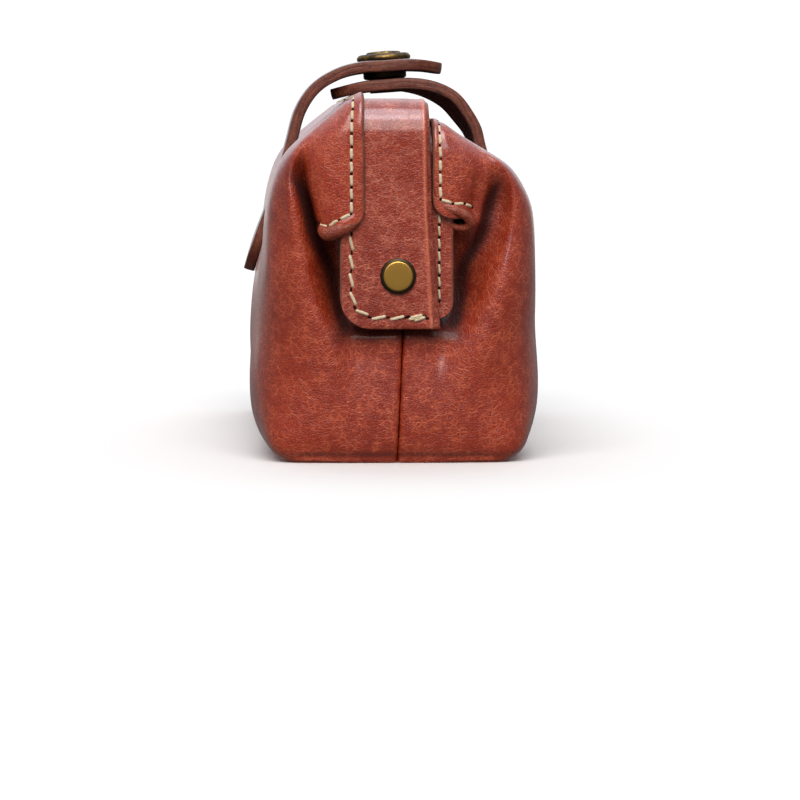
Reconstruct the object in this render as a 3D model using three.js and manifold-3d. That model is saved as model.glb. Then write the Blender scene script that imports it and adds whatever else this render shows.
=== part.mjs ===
// Frame clutch: a leather pouch sewn from two panels, each hung on a leather-wrapped frame strip.
// Millimetres, +Z up. X runs along the length, the front is -Y, the origin is the middle of the base.
// Each strip is a U along the mouth with a tab down each end. The back strip lies over the front one,
// and a rivet holds the two tabs together at each end. Two straps close over the top with a snap.

import * as THREE from 'three';
import { mergeVertices } from 'three/addons/utils/BufferGeometryUtils.js';
import Module from 'manifold-3d';

const wasm = await Module();
wasm.setup();

// Driving dimensions
const clearance = 0.3; // between neighbouring pieces
const wall = 1.6; // body leather
const seamHalfGap = clearance / 2; // each panel stops this far from the middle plane
const sideStart = 86; // the side wall runs straight between +-sideStart
const upperCorner = 0.28; // roundness between the end and the side above the ear
const gussetStops = [0, 0.36, 0.72, 1]; // ring points from the centre seam to the pleat's valley
const casingFlat = 0.72; // share of the casing that lies flat before its fold
const casingRise = { cut: 0, flat: 0.45, fold: 0.75, valley: 0.9 }; // from the cut edge to the ring's height
const strapWidth = 26;
const strapThickness = 3;
const strapTipRadius = 10;
const strapTipSteps = 4;
const strapBodySteps = 20;
const snapTilt = THREE.MathUtils.degToRad(-4); // the snap leans a little towards the back

// Frame strips: face is the outer face of the tabs, top the upper face along the mouth.
// The hidden edge is thinned above skive_z, to skive_y at the top, so that the roof can slope down over it.
const backStrip = {
  face: 107.9, top: 92.4, thickness: 3, bend: 9.4,
  hidden_y: 14.7, skive_y: 9.0, skive_z: 79,
  shown_top_y: -7.9, shown_mid_y: -8.6, shown_foot_y: -10.8, shown_mid_z: 64,
  foot_z: 34.4, foot_radius: 8.5,
};
const frontStrip = {
  face: 104.6, top: 85.7, thickness: 3, bend: 7.9,
  hidden_y: 14.2, skive_y: 9.6, skive_z: 76,
  shown_top_y: -8, shown_mid_y: -8, shown_foot_y: -8, shown_mid_z: 60,
  foot_z: 36.7, foot_radius: 5,
};

// Rivets through both tabs at each end
const rivet = { z: 47.9, post: 1.6, cap: 4.55, face: 3.9, cap_height: 1.3, tail: 3.5, tail_height: 1 };

// Snap, measured along its axis from the middle of the upper strap
const snap = {
  z: 102.5, cap: 7.5, cap_height: 3, post: 2, socket: 6, socket_height: 1.5,
  cavity: 3.6, cavity_roof: 0.25, knob: 3.2, strap_drop: 5.2, stud_post: 1.7, washer: 4.5, washer_height: 0.4,
};

// Lower half of a panel, a row for each height. Distances from the middle plane (y) and from the middle
// of the length (x): centre seam, valley of the pleat, ridge outside it, side wall at the end and middle.
// The corner column says how round the ring is between the end and the side.
const lowerColumns = [
  'z', 'seam_x', 'valley_y', 'valley_x', 'ridge_y', 'ridge_x', 'end_y', 'mid_y', 'corner', 'steps',
];
const backLower = table(lowerColumns, [
  [0, 102.0, 11.0, 102.0, 21.0, 101.8, 29.4, 29.8, 0.12, 1],
  [3, 104.0, 11.0, 103.8, 21.0, 103.5, 33.4, 34.0, 0.15, 1],
  [10, 105.2, 11.0, 104.8, 20.0, 104.9, 35.8, 36.4, 0.22, 1],
  [20, 104.9, 10.5, 104.2, 18.0, 105.8, 36.6, 37.3, 0.28, 1],
  [28, 104.0, 11.5, 103.0, 17.6, 106.0, 36.1, 37.5, 0.28, 1],
  [34, 102.9, 13.2, 101.2, 18.8, 106.2, 35.5, 37.3, 0.28, 2],
  [42, 97.8, 15.2, 95.8, 21.6, 106.3, 35.0, 36.6, 0.28, 2],
  [50, 96.6, 16.8, 95.4, 24.0, 106.0, 34.6, 34.8, 0.28, 2],
  [58, 95.6, 18.7, 96.8, 25.6, 105.3, 34.0, 31.8, 0.28, 0],
]);
const frontLower = table(lowerColumns, [
  [0, 102.0, 11.0, 102.0, 21.0, 101.8, 29.4, 29.8, 0.12, 1],
  [3, 104.0, 11.0, 103.8, 21.0, 103.5, 33.8, 34.2, 0.15, 1],
  [10, 105.2, 11.0, 104.8, 20.0, 104.9, 36.0, 36.6, 0.22, 1],
  [20, 104.9, 10.5, 104.2, 18.5, 105.8, 36.9, 37.4, 0.28, 1],
  [28, 104.0, 12.0, 102.8, 20.0, 106.0, 36.6, 37.5, 0.28, 1],
  [34, 102.9, 14.2, 100.6, 22.0, 106.0, 36.2, 37.3, 0.28, 2],
  [42, 97.8, 16.0, 95.4, 24.6, 105.6, 36.5, 36.6, 0.28, 2],
  [50, 96.6, 17.0, 95.4, 27.0, 104.9, 36.5, 34.8, 0.28, 2],
  [60.5, 95.4, 19.8, 101.5, 29.4, 103.6, 35.8, 32.0, 0.28, 0],
]);

// Upper half of a panel, from the ear of the casing to its cut edge along the mouth. The depths (in)
// are measured behind the casing's outer face, and cut_z is the height of the cut edge on the end.
const upperColumns = [
  'z', 'cut_z', 'fold_y', 'fold_in', 'valley_y', 'valley_in',
  'ridge_y', 'ridge_in', 'end_y', 'mid_y', 'steps',
];
const backUpper = table(upperColumns, [
  [58.0, 60.8, 20.0, 3.2, 18.7, 13.0, 25.6, 4.5, 34.0, 31.8, 2],
  [66.0, 66.6, 22.0, 3.2, 20.9, 13.0, 26.8, 4.5, 33.1, 28.8, 2],
  [74.0, 72.2, 23.2, 3.2, 23.8, 9.5, 27.6, 5.0, 30.8, 26.0, 2],
  [80.0, 76.0, 21.8, 2.2, 23.6, 4.2, 25.4, 5.0, 27.4, 23.4, 2],
  [86.5, 78.8, 16.0, 0.8, 17.6, 1.6, 18.8, 3.0, 20.0, 18.4, 1],
  [91.5, 80.9, 11.6, 0.3, 12.4, 0.8, 13.0, 1.6, 13.7, 13.0, 1],
  [93.7, 82.7, 9.6, 0.1, 9.9, 0.3, 10.2, 0.7, 10.6, 10.4, 1],
  [94.3, 84.3, 8.6, 0.0, 8.6, 0.0, 8.6, 0.0, 8.6, 8.6, 0],
]);
const frontUpper = table(upperColumns, [
  [60.5, 63.4, 18.4, 2.0, 19.8, 5.0, 29.4, 2.9, 35.8, 32.0, 2],
  [66.0, 67.4, 19.2, 1.6, 21.2, 4.4, 30.0, 3.2, 34.7, 29.4, 2],
  [71.5, 70.8, 19.8, 1.2, 22.4, 3.2, 29.4, 3.4, 32.0, 27.0, 2],
  [75.8, 73.2, 20.2, 0.9, 23.2, 2.2, 27.0, 3.8, 28.6, 24.6, 2],
  [80.5, 75.0, 17.8, 0.7, 19.2, 1.5, 20.2, 2.8, 21.2, 20.0, 1],
  [84.8, 76.6, 12.6, 0.3, 13.3, 0.7, 13.9, 1.4, 14.6, 14.2, 1],
  [87.0, 77.9, 10.4, 0.1, 10.7, 0.3, 11.0, 0.6, 11.4, 11.2, 1],
  [87.6, 79.1, 8.9, 0.0, 8.9, 0.0, 8.9, 0.0, 8.9, 8.9, 0],
]);
const backPanel = { lower: backLower, upper: backUpper, strip: backStrip };
const frontPanel = { lower: frontLower, upper: frontUpper, strip: frontStrip };

// Strap centre lines above the panel's side wall, as distance from the middle plane and height
const strapFoot = { low_z: 46, high_z: 70, points: 4 };
const runColumns = ['y', 'z'];
const backStrapRun = table(runColumns, [
  [26.4, 80.6], [23.6, 90.3], [19.4, 96.4], [13.2, 100.3],
  [7.2, 102.0], [0, 102.5], [-7.5, 102.9], [-15.7, 101.8],
]);
const frontStrapRun = table(runColumns, [
  [26.1, 80.5], [24.7, 84.8], [22.2, 88.7], [18.7, 92.9], [15.1, 95.2],
  [10.5, 96.8], [5, 97.5], [0, 97.3], [-6, 96.7], [-14.6, 94.6],
]);

// How many mesh steps each stretch of a ring takes, from the end's middle to the middle of the side
const ringSteps = [2, 2, 2, 3, 2, 2, 2, 2];
const valleyStep = ringSteps[0] + ringSteps[1] + ringSteps[2];
const cornerStep = valleyStep + ringSteps[3] + ringSteps[4];

const leather = new THREE.MeshStandardMaterial({ color: 0x9b4834, roughness: 0.5 });
const stripLeather = new THREE.MeshStandardMaterial({ color: 0xa04e3a, roughness: 0.55 });
const strapLeather = new THREE.MeshStandardMaterial({ color: 0x7c3f2a, roughness: 0.6 });
const brass = new THREE.MeshStandardMaterial({ color: 0x7d6428, roughness: 0.4, metalness: 1 });

function table(columns, rows) {
  return rows.map((row) => Object.fromEntries(columns.map((name, i) => [name, row[i]])));
}

function lerp(a, b, f) {
  return a + (b - a) * f;
}

// Points on a smooth curve through the given points, with a number of steps for each stretch
function curveThrough(points, steps) {
  const curve = new THREE.CatmullRomCurve3(points, false, 'centripetal');
  const last = points.length - 1;
  const samples = [];
  for (let i = 0; i < last; i += 1) {
    for (let k = 0; k < steps[i]; k += 1) {
      samples.push(curve.getPoint((i + k / steps[i]) / last));
    }
  }
  samples.push(points[last].clone());
  return samples;
}

// The side wall of a ring, from the ridge round the corner to the middle of the length
function sideWall(row, ridge, round) {
  const cornerX = lerp(ridge.x, -sideStart, round);
  const corner = new THREE.Vector3(cornerX, lerp(ridge.y, row.end_y, 1 - 1.15 * round), row.z);
  const start = new THREE.Vector3(-sideStart, row.end_y, row.z);
  const quarter = new THREE.Vector3(-sideStart / 2, lerp(row.end_y, row.mid_y, 0.75), row.z);
  const middle = new THREE.Vector3(0, row.mid_y, row.z);
  return [corner, start, quarter, middle];
}

// Half a ring below the ear: end panel from the centre seam to the pleat, then the side wall
function lowerRing(row) {
  const at = (x, y) => new THREE.Vector3(-x, y, row.z);
  const gusset = (f) => at(lerp(row.seam_x, row.valley_x, f), lerp(seamHalfGap, row.valley_y, f));
  const ridge = at(row.ridge_x, row.ridge_y);
  return [...gussetStops.map(gusset), ridge, ...sideWall(row, ridge, row.corner)];
}

// Distance of the casing's outer face from the middle of the length at a height, round the strip's bend
function casingFace(panel, z) {
  const top = panel.upper.at(-1);
  const radius = top.z - top.cut_z;
  const face = panel.strip.face + clearance + wall;
  const rise = Math.min(Math.max(z - top.cut_z, 0), radius);
  return face - radius + Math.sqrt(radius * radius - rise * rise);
}

// Half a ring above the ear: casing from its cut edge to the fold, pleat, then the side wall
function upperRing(panel, row) {
  const cutY = panel.upper.at(-1).end_y;
  const at = (y, depth, rise) => {
    const z = lerp(row.cut_z, row.z, rise);
    return new THREE.Vector3(depth - casingFace(panel, z), y, z);
  };
  const ridge = at(row.ridge_y, row.ridge_in, 1);
  return [
    at(cutY, 0, casingRise.cut),
    at(lerp(cutY, row.fold_y, casingFlat), 0, casingRise.flat),
    at(row.fold_y, row.fold_in, casingRise.fold),
    at(row.valley_y, row.valley_in, row === panel.upper[0] ? 1 : casingRise.valley),
    ridge,
    ...sideWall(row, ridge, upperCorner),
  ];
}

// A whole ring of mesh points, from one end's middle round the side to the other end's middle
function ringPoints(half) {
  const other = half.slice(0, -1).reverse().map((p) => new THREE.Vector3(-p.x, p.y, p.z));
  return curveThrough([...half, ...other], [...ringSteps, ...ringSteps.slice().reverse()]);
}

// Quads between neighbouring rows of points, each split along its shorter diagonal into triangles of
// loose points that face out of the pouch
function addQuads(rows, triangles) {
  for (let r = 1; r < rows.length; r += 1) {
    for (let c = 1; c < rows[r].length; c += 1) {
      const [a, b] = [rows[r - 1][c - 1], rows[r - 1][c]];
      const [d, e] = [rows[r][c - 1], rows[r][c]];
      if (b.distanceTo(d) < a.distanceTo(e)) triangles.push(a, d, b, b, d, e);
      else triangles.push(a, d, e, a, e, b);
    }
  }
}

// Flat bottom of a panel inside its lowest ring, between the two cross seams and the centre seam
function bottomRows(ring) {
  const last = ring.length - 1;
  const edge = ring.slice(cornerStep, last - cornerStep + 1);
  const rows = [];
  for (let r = 0; r <= cornerStep; r += 1) {
    const f = r / cornerStep;
    const seamEnd = ring[0];
    const [left, right] = [ring[r], ring[last - r]];
    rows.push(edge.map((p, c) => {
      const g = c / (edge.length - 1);
      const across = left.clone().lerp(right, g);
      const seam = seamEnd.clone().lerp(ring[last], g);
      const along = seam.clone().lerp(p, f);
      const base = seam.lerp(edge[0].clone().lerp(edge.at(-1), g), f);
      return across.add(along).sub(base);
    }));
  }
  return rows;
}

// The panel's outer surface. Pleat and side run through from bottom to mouth, but the casing flap and
// the end panel behind the tab are parted by a slit at the ear.
function panelTriangles(panel) {
  const lower = panel.lower.map((row) => ringPoints(lowerRing(row)));
  const upper = panel.upper.map((row) => ringPoints(upperRing(panel, row)));
  const lowerSteps = panel.lower.map((row) => row.steps).slice(0, -1);
  const upperSteps = panel.upper.map((row) => row.steps).slice(0, -1);
  const split = lowerSteps.reduce((sum, n) => sum + n, 0);
  const last = lower[0].length - 1;
  const column = (rings, c) => rings.map((ring) => ring[c]);
  const lowerGrid = [];
  const upperGrid = [];
  for (let c = 0; c <= last; c += 1) {
    if (c >= valleyStep && c <= last - valleyStep) {
      const rings = [...lower, ...upper.slice(1)];
      const whole = curveThrough(column(rings, c), [...lowerSteps, ...upperSteps]);
      lowerGrid.push(whole.slice(0, split + 1));
      upperGrid.push(whole.slice(split));
    } else {
      lowerGrid.push(curveThrough(column(lower, c), lowerSteps));
      upperGrid.push(curveThrough(column(upper, c), upperSteps));
    }
  }
  const byRow = (grid) => grid[0].map((_, r) => grid.map((points) => points[r]));
  const triangles = [];
  addQuads(byRow(lowerGrid), triangles);
  addQuads(byRow(upperGrid), triangles);
  addQuads(bottomRows(lower[0]), triangles);
  return triangles;
}

function weld(points) {
  const geometry = new THREE.BufferGeometry().setFromPoints(points);
  return mergeVertices(geometry, 1e-3);
}

// A closed wall: the outer surface, its copy moved inwards by the wall thickness, and the rims
function thicken(points, thickness) {
  const outer = weld(points);
  outer.computeVertexNormals();
  const place = outer.getAttribute('position');
  const normal = outer.getAttribute('normal');
  const index = Array.from(outer.getIndex().array);
  const count = place.count;
  const positions = [...place.array];
  for (let i = 0; i < count; i += 1) {
    const y = place.getY(i) - normal.getY(i) * thickness;
    const z = place.getZ(i) - normal.getZ(i) * thickness;
    positions.push(place.getX(i) - normal.getX(i) * thickness, Math.max(y, seamHalfGap), z);
  }
  const edges = new Map();
  const faces = [];
  for (let t = 0; t < index.length; t += 3) {
    const [a, b, c] = index.slice(t, t + 3);
    if (a === b || b === c || c === a) continue;
    faces.push(a, b, c, count + a, count + c, count + b);
    [[a, b], [b, c], [c, a]].forEach(([from, to]) => edges.set(`${from} ${to}`, [from, to]));
  }
  edges.forEach(([from, to]) => {
    if (!edges.has(`${to} ${from}`)) faces.push(to, from, count + from, to, count + from, count + to);
  });
  const geometry = new THREE.BufferGeometry();
  geometry.setAttribute('position', new THREE.Float32BufferAttribute(positions, 3));
  geometry.setIndex(faces);
  return geometry;
}

// The same geometry on the other side of the middle plane
function mirrored(geometry) {
  const copy = geometry.clone().scale(1, -1, 1);
  const index = copy.getIndex();
  for (let t = 0; t < index.count; t += 3) {
    const keep = index.getX(t);
    index.setX(t, index.getX(t + 1));
    index.setX(t + 1, keep);
  }
  return copy;
}

function toSolid(geometry) {
  const bare = geometry.clone();
  bare.deleteAttribute('normal');
  bare.deleteAttribute('uv');
  const merged = mergeVertices(bare, 1e-4);
  const vertProperties = new Float32Array(merged.getAttribute('position').array);
  const triVerts = new Uint32Array(merged.getIndex().array);
  return new wasm.Manifold(new wasm.Mesh({ numProp: 3, vertProperties, triVerts }));
}

function toGeometry(solid) {
  const mesh = solid.getMesh();
  const geometry = new THREE.BufferGeometry();
  geometry.setAttribute('position', new THREE.Float32BufferAttribute(mesh.vertProperties, 3));
  geometry.setIndex(Array.from(mesh.triVerts));
  return geometry;
}

// U outline of a strip seen from the front, extruded across the mouth
function stripRun(strip, reach) {
  const outline = new THREE.Shape();
  const { face, top, thickness, bend, foot_z: foot } = strip;
  const inner = bend - thickness;
  outline.moveTo(-face, foot);
  outline.lineTo(-face + thickness, foot);
  outline.lineTo(-face + thickness, top - bend);
  outline.absarc(-face + bend, top - bend, inner, Math.PI, Math.PI / 2, true);
  outline.absarc(face - bend, top - bend, inner, Math.PI / 2, 0, true);
  outline.lineTo(face - thickness, foot);
  outline.lineTo(face, foot);
  outline.absarc(face - bend, top - bend, bend, 0, Math.PI / 2, false);
  outline.absarc(-face + bend, top - bend, bend, Math.PI / 2, Math.PI, false);
  const run = new THREE.ExtrudeGeometry(outline, { depth: 2 * reach, bevelEnabled: false, curveSegments: 6 });
  return run.translate(0, 0, -reach).rotateX(Math.PI / 2);
}

// Outline of a strip seen from the end: thinned hidden edge, rounded foot corner, folded shown edge
function stripEnd(strip) {
  const { hidden_y: hidden, skive_y: skive, top, foot_z: foot, foot_radius: radius } = strip;
  const reach = strip.face + 1;
  const outline = new THREE.Shape();
  outline.moveTo(strip.shown_top_y, top + 1);
  outline.lineTo(strip.shown_mid_y, strip.shown_mid_z);
  outline.lineTo(strip.shown_foot_y, foot);
  outline.lineTo(hidden - radius, foot);
  outline.absarc(hidden - radius, foot + radius, radius, -Math.PI / 2, 0, false);
  outline.lineTo(hidden, strip.skive_z);
  outline.lineTo(skive, top);
  outline.lineTo(skive, top + 1);
  const end = new THREE.ExtrudeGeometry(outline, { depth: 2 * reach, bevelEnabled: false, curveSegments: 6 });
  return end.translate(0, 0, -reach).rotateX(Math.PI / 2).rotateZ(Math.PI / 2);
}

function rivetBores(strip) {
  const radius = rivet.post + clearance;
  const bores = new THREE.CylinderGeometry(radius, radius, 2 * strip.face + 2, 16);
  return bores.rotateZ(Math.PI / 2).translate(0, 0, rivet.z);
}

function frameStrip(strip) {
  const run = toSolid(stripRun(strip, strip.hidden_y + 1));
  return toGeometry(run.intersect(toSolid(stripEnd(strip))).subtract(toSolid(rivetBores(strip))));
}

// Rivet turned about its own axis, from the tail inside the tabs out to the flat face of the cap
function hingeRivet() {
  const tailFace = frontStrip.face - frontStrip.thickness - clearance;
  const seat = backStrip.face + clearance;
  const outer = seat + rivet.cap_height;
  const profile = [
    [0, tailFace - rivet.tail_height],
    [rivet.tail, tailFace - rivet.tail_height],
    [rivet.tail, tailFace],
    [rivet.post, tailFace],
    [rivet.post, seat],
    [rivet.cap, seat],
    [rivet.cap, lerp(seat, outer, 0.6)],
    [rivet.face, outer],
    [0, outer],
  ];
  return new THREE.LatheGeometry(profile.map(([r, h]) => new THREE.Vector2(r, h)), 20).rotateZ(Math.PI / 2);
}

// Distance of the side wall's middle line from the middle plane at a height
function sideMiddle(panel, z) {
  const rows = [...panel.lower, ...panel.upper.slice(1)];
  const next = rows.findIndex((row) => row.z >= z);
  const [a, b] = [rows[next - 1], rows[next]];
  return lerp(a.mid_y, b.mid_y, (z - a.z) / (b.z - a.z));
}

// Centre line of a strap: its foot lies on the side wall, then it runs free over the mouth
function strapLine(panel, run) {
  const foot = [];
  for (let i = 0; i < strapFoot.points; i += 1) {
    const z = lerp(strapFoot.low_z, strapFoot.high_z, i / (strapFoot.points - 1));
    const seat = sideMiddle(panel, z) + 2 * clearance + strapThickness / 2;
    foot.push(new THREE.Vector3(0, seat, z));
  }
  const points = [...foot, ...run.map(({ y, z }) => new THREE.Vector3(0, y, z))];
  return new THREE.CatmullRomCurve3(points, false, 'centripetal');
}

// Half the width of a strap at a distance from its nearer end, with rounded corners
function strapHalfWidth(fromEnd) {
  const short = Math.max(strapTipRadius - fromEnd, 0);
  return strapWidth / 2 - strapTipRadius + Math.sqrt(strapTipRadius * strapTipRadius - short * short);
}

// A strap: a flat band along its centre line, rounded at both ends
function strapBand(panel, run) {
  const line = strapLine(panel, run);
  const length = line.getLength();
  const tip = [];
  for (let i = 0; i <= strapTipSteps; i += 1) {
    tip.push(strapTipRadius * (1 - Math.cos((i / strapTipSteps) * (Math.PI / 2))));
  }
  const body = [];
  for (let i = 1; i < strapBodySteps; i += 1) {
    body.push(lerp(strapTipRadius, length - strapTipRadius, i / strapBodySteps));
  }
  const stops = [...tip, ...body, ...tip.map((s) => length - s).reverse()];
  const sections = stops.map((s) => {
    const centre = line.getPointAt(s / length);
    const along = line.getTangentAt(s / length);
    const out = new THREE.Vector3(0, along.z, -along.y).multiplyScalar(strapThickness / 2);
    const side = new THREE.Vector3(strapHalfWidth(Math.min(s, length - s)), 0, 0);
    const corner = (x, n) => centre.clone().addScaledVector(side, x).addScaledVector(out, n);
    return [corner(-1, 1), corner(1, 1), corner(1, -1), corner(-1, -1)];
  });
  const triangles = [];
  addQuads(sections.map((section) => [...section, section[0]]), triangles);
  const cap = ([a, b, c, d]) => [a, b, c, a, c, d];
  triangles.push(...cap(sections[0]), ...cap(sections.at(-1)).reverse());
  return weld(triangles);
}

function snapBore(radius) {
  const bore = new THREE.CylinderGeometry(radius + clearance, radius + clearance, 30, 16);
  return bore.rotateX(Math.PI / 2 + snapTilt).translate(0, 0, snap.z);
}

function strapWithBore(band, radius) {
  return toGeometry(toSolid(band).subtract(toSolid(snapBore(radius))));
}

function turned(profile) {
  const points = profile.map(([r, h]) => new THREE.Vector2(r, h));
  return new THREE.LatheGeometry(points, 24).rotateX(Math.PI / 2);
}

// Cap, post and socket of the snap: the socket hangs under the upper strap
function snapCap() {
  const seat = strapThickness / 2 + clearance;
  const mouth = -seat - snap.socket_height;
  const top = seat + snap.cap_height;
  return turned([
    [0, -seat - snap.cavity_roof],
    [snap.cavity, -seat - snap.cavity_roof],
    [snap.cavity, mouth],
    [snap.socket - 0.6, mouth],
    [snap.socket, mouth + 0.4],
    [snap.socket, -seat],
    [snap.post, -seat],
    [snap.post, seat],
    [snap.cap - 0.5, seat],
    [snap.cap, seat + 0.4],
    [snap.cap, lerp(seat, top, 0.4)],
    [snap.cap - 0.7, lerp(seat, top, 0.72)],
    [snap.cap - 2.2, lerp(seat, top, 0.9)],
    [snap.cap / 3, top],
    [0, top],
  ]);
}

// Stud of the snap: its knob stands on the lower strap inside the socket, a washer holds it below
function snapStud() {
  const seat = -snap.strap_drop + strapThickness / 2 + clearance;
  const below = -snap.strap_drop - strapThickness / 2 - clearance;
  const knobTop = -strapThickness / 2 - 2 * clearance - snap.cavity_roof;
  return turned([
    [0, below - snap.washer_height],
    [snap.washer, below - snap.washer_height],
    [snap.washer, below],
    [snap.stud_post, below],
    [snap.stud_post, seat],
    [snap.knob, seat],
    [snap.knob, knobTop - 0.4],
    [snap.knob - 0.5, knobTop],
    [0, knobTop],
  ]);
}

function piece(name, geometry, material) {
  const mesh = new THREE.Mesh(geometry, material);
  mesh.name = name;
  return mesh;
}

const backSheet = thicken(panelTriangles(backPanel), wall);
const frontSheet = mirrored(thicken(panelTriangles(frontPanel), wall));

const clutch = new THREE.Group();
clutch.add(piece('back_panel', backSheet, leather));
clutch.add(piece('front_panel', frontSheet, leather));
clutch.add(piece('frame_strip_back', frameStrip(backStrip), stripLeather));
clutch.add(piece('frame_strip_front', mirrored(frameStrip(frontStrip)), stripLeather));

const leftRivet = piece('hinge_rivet_left', hingeRivet(), brass);
const rightRivet = piece('hinge_rivet_right', hingeRivet(), brass);
rightRivet.rotation.z = Math.PI;
[leftRivet, rightRivet].forEach((mesh) => {
  mesh.position.z = rivet.z;
  clutch.add(mesh);
});

const backStrap = strapWithBore(strapBand(backPanel, backStrapRun), snap.post);
const frontStrap = strapWithBore(mirrored(strapBand(frontPanel, frontStrapRun)), snap.stud_post);
clutch.add(piece('snap_strap_back', backStrap, strapLeather));
clutch.add(piece('snap_strap_front', frontStrap, strapLeather));

const fastener = new THREE.Group();
fastener.position.z = snap.z;
fastener.rotation.x = snapTilt;
fastener.add(piece('snap_cap', snapCap(), brass));
fastener.add(piece('snap_stud', snapStud(), brass));
clutch.add(fastener);

export default clutch;
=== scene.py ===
"""Frame clutch in chestnut pebbled leather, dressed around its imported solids.

The panels, strips and straps repeat the sizes of the solids in millimetres on fine meshes with rolled
seams, folded and raw edges and thread. X runs along the length, the front is -Y, the base is at Z = 0.
"""
import math

import bpy
import numpy as np
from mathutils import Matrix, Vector
from mathutils.bvhtree import BVHTree


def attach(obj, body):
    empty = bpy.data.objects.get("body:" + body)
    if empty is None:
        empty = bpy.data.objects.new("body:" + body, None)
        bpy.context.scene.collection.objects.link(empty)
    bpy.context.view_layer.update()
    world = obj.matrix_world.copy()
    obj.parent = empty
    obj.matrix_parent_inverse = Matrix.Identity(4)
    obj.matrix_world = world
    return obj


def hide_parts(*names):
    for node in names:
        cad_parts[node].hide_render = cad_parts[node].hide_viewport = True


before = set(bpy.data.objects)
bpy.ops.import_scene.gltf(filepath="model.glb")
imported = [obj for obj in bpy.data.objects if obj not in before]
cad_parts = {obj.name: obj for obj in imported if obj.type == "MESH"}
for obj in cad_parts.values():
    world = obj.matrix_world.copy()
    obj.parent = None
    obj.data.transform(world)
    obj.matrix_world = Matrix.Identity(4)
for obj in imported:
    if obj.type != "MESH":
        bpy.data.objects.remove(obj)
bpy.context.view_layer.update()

MM = 0.001

# Sizes in millimetres, shared with the solids
CLEARANCE = 0.3
WALL = 1.6
SEAM_HALF_GAP = 0.03
SIDE_START = 86
UPPER_CORNER = 0.28
GUSSET_STOPS = (0, 0.36, 0.72, 1)
CASING_FLAT = 0.72
CASING_RISE = {"cut": 0, "flat": 0.45, "fold": 0.75, "valley": 0.9}
STRAP_WIDTH = 26
STRAP_THICKNESS = 3
STRAP_TIP_RADIUS = 10
SNAP_TILT = math.radians(-4)


def table(columns, *rows):
    """Rows of numbers as dictionaries with named columns."""
    return [dict(zip(columns.split(), row)) for row in rows]


BACK_STRIP = dict(
    face=107.9, top=92.4, thickness=3, bend=9.4, hidden_y=14.7, skive_y=9.0, skive_z=79,
    shown_top_y=-7.9, shown_mid_y=-8.6, shown_foot_y=-10.8, shown_mid_z=64, foot_z=34.4, foot_radius=8.5,
)
FRONT_STRIP = dict(
    face=104.6, top=85.7, thickness=3, bend=7.9, hidden_y=14.2, skive_y=9.6, skive_z=76,
    shown_top_y=-8, shown_mid_y=-8, shown_foot_y=-8, shown_mid_z=60, foot_z=36.7, foot_radius=5,
)
RIVET = dict(z=47.9, post=1.6, cap=4.55, face=3.75, cap_height=1.3, tail=3.5, tail_height=1)
SNAP = dict(
    z=102.5, cap=7.5, cap_height=3, post=2, socket=6, socket_height=1.5, cavity=3.6, cavity_roof=0.25,
    knob=3.2, strap_drop=5.2, stud_post=1.7, washer=4.5, washer_height=0.4,
)

LOWER = "z seam_x valley_y valley_x ridge_y ridge_x end_y mid_y corner"
BACK_LOWER = table(
    LOWER,
    (0, 102.0, 11.0, 102.0, 21.0, 101.8, 29.4, 29.8, 0.12),
    (3, 104.0, 11.0, 103.8, 21.0, 103.5, 33.4, 34.0, 0.15),
    (10, 105.2, 11.0, 104.8, 20.0, 104.9, 35.8, 36.4, 0.22),
    (20, 104.9, 10.5, 104.2, 18.0, 105.8, 36.6, 37.3, 0.28),
    (28, 104.0, 11.5, 103.0, 17.6, 106.0, 36.1, 37.5, 0.28),
    (34, 102.9, 13.2, 101.2, 18.8, 106.2, 35.5, 37.3, 0.28),
    (42, 97.8, 15.2, 95.8, 21.6, 106.3, 35.0, 36.6, 0.28),
    (50, 96.6, 16.8, 95.4, 24.0, 106.0, 34.6, 34.8, 0.28),
    (58, 95.6, 18.7, 96.8, 25.6, 105.3, 34.0, 31.8, 0.28),
)
FRONT_LOWER = table(
    LOWER,
    (0, 102.0, 11.0, 102.0, 21.0, 101.8, 29.4, 29.8, 0.12),
    (3, 104.0, 11.0, 103.8, 21.0, 103.5, 33.8, 34.2, 0.15),
    (10, 105.2, 11.0, 104.8, 20.0, 104.9, 36.0, 36.6, 0.22),
    (20, 104.9, 10.5, 104.2, 18.5, 105.8, 36.9, 37.4, 0.28),
    (28, 104.0, 12.0, 102.8, 20.0, 106.0, 36.6, 37.5, 0.28),
    (34, 102.9, 14.2, 100.6, 22.0, 106.0, 36.2, 37.3, 0.28),
    (42, 97.8, 16.0, 95.4, 24.6, 105.6, 36.5, 36.6, 0.28),
    (50, 96.6, 17.0, 95.4, 27.0, 104.9, 36.5, 34.8, 0.28),
    (60.5, 95.4, 19.8, 101.5, 29.4, 103.6, 35.8, 32.0, 0.28),
)
UPPER = "z cut_z fold_y fold_in valley_y valley_in ridge_y ridge_in end_y mid_y"
BACK_UPPER = table(
    UPPER,
    (58.0, 60.8, 20.0, 3.2, 18.7, 13.0, 25.6, 4.5, 34.0, 31.8),
    (66.0, 66.6, 22.0, 3.2, 20.9, 13.0, 26.8, 4.5, 33.1, 28.8),
    (74.0, 72.2, 23.2, 3.2, 23.8, 9.5, 27.6, 5.0, 30.8, 26.0),
    (80.0, 76.0, 21.8, 2.2, 23.6, 4.2, 25.4, 5.0, 27.4, 23.4),
    (86.5, 78.8, 16.0, 0.8, 17.6, 1.6, 18.8, 3.0, 20.0, 18.4),
    (91.5, 80.9, 11.6, 0.3, 12.4, 0.8, 13.0, 1.6, 13.7, 13.0),
    (93.7, 82.7, 9.6, 0.1, 9.9, 0.3, 10.2, 0.7, 10.6, 10.4),
    (94.3, 84.3, 8.6, 0.0, 8.6, 0.0, 8.6, 0.0, 8.6, 8.6),
)
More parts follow.
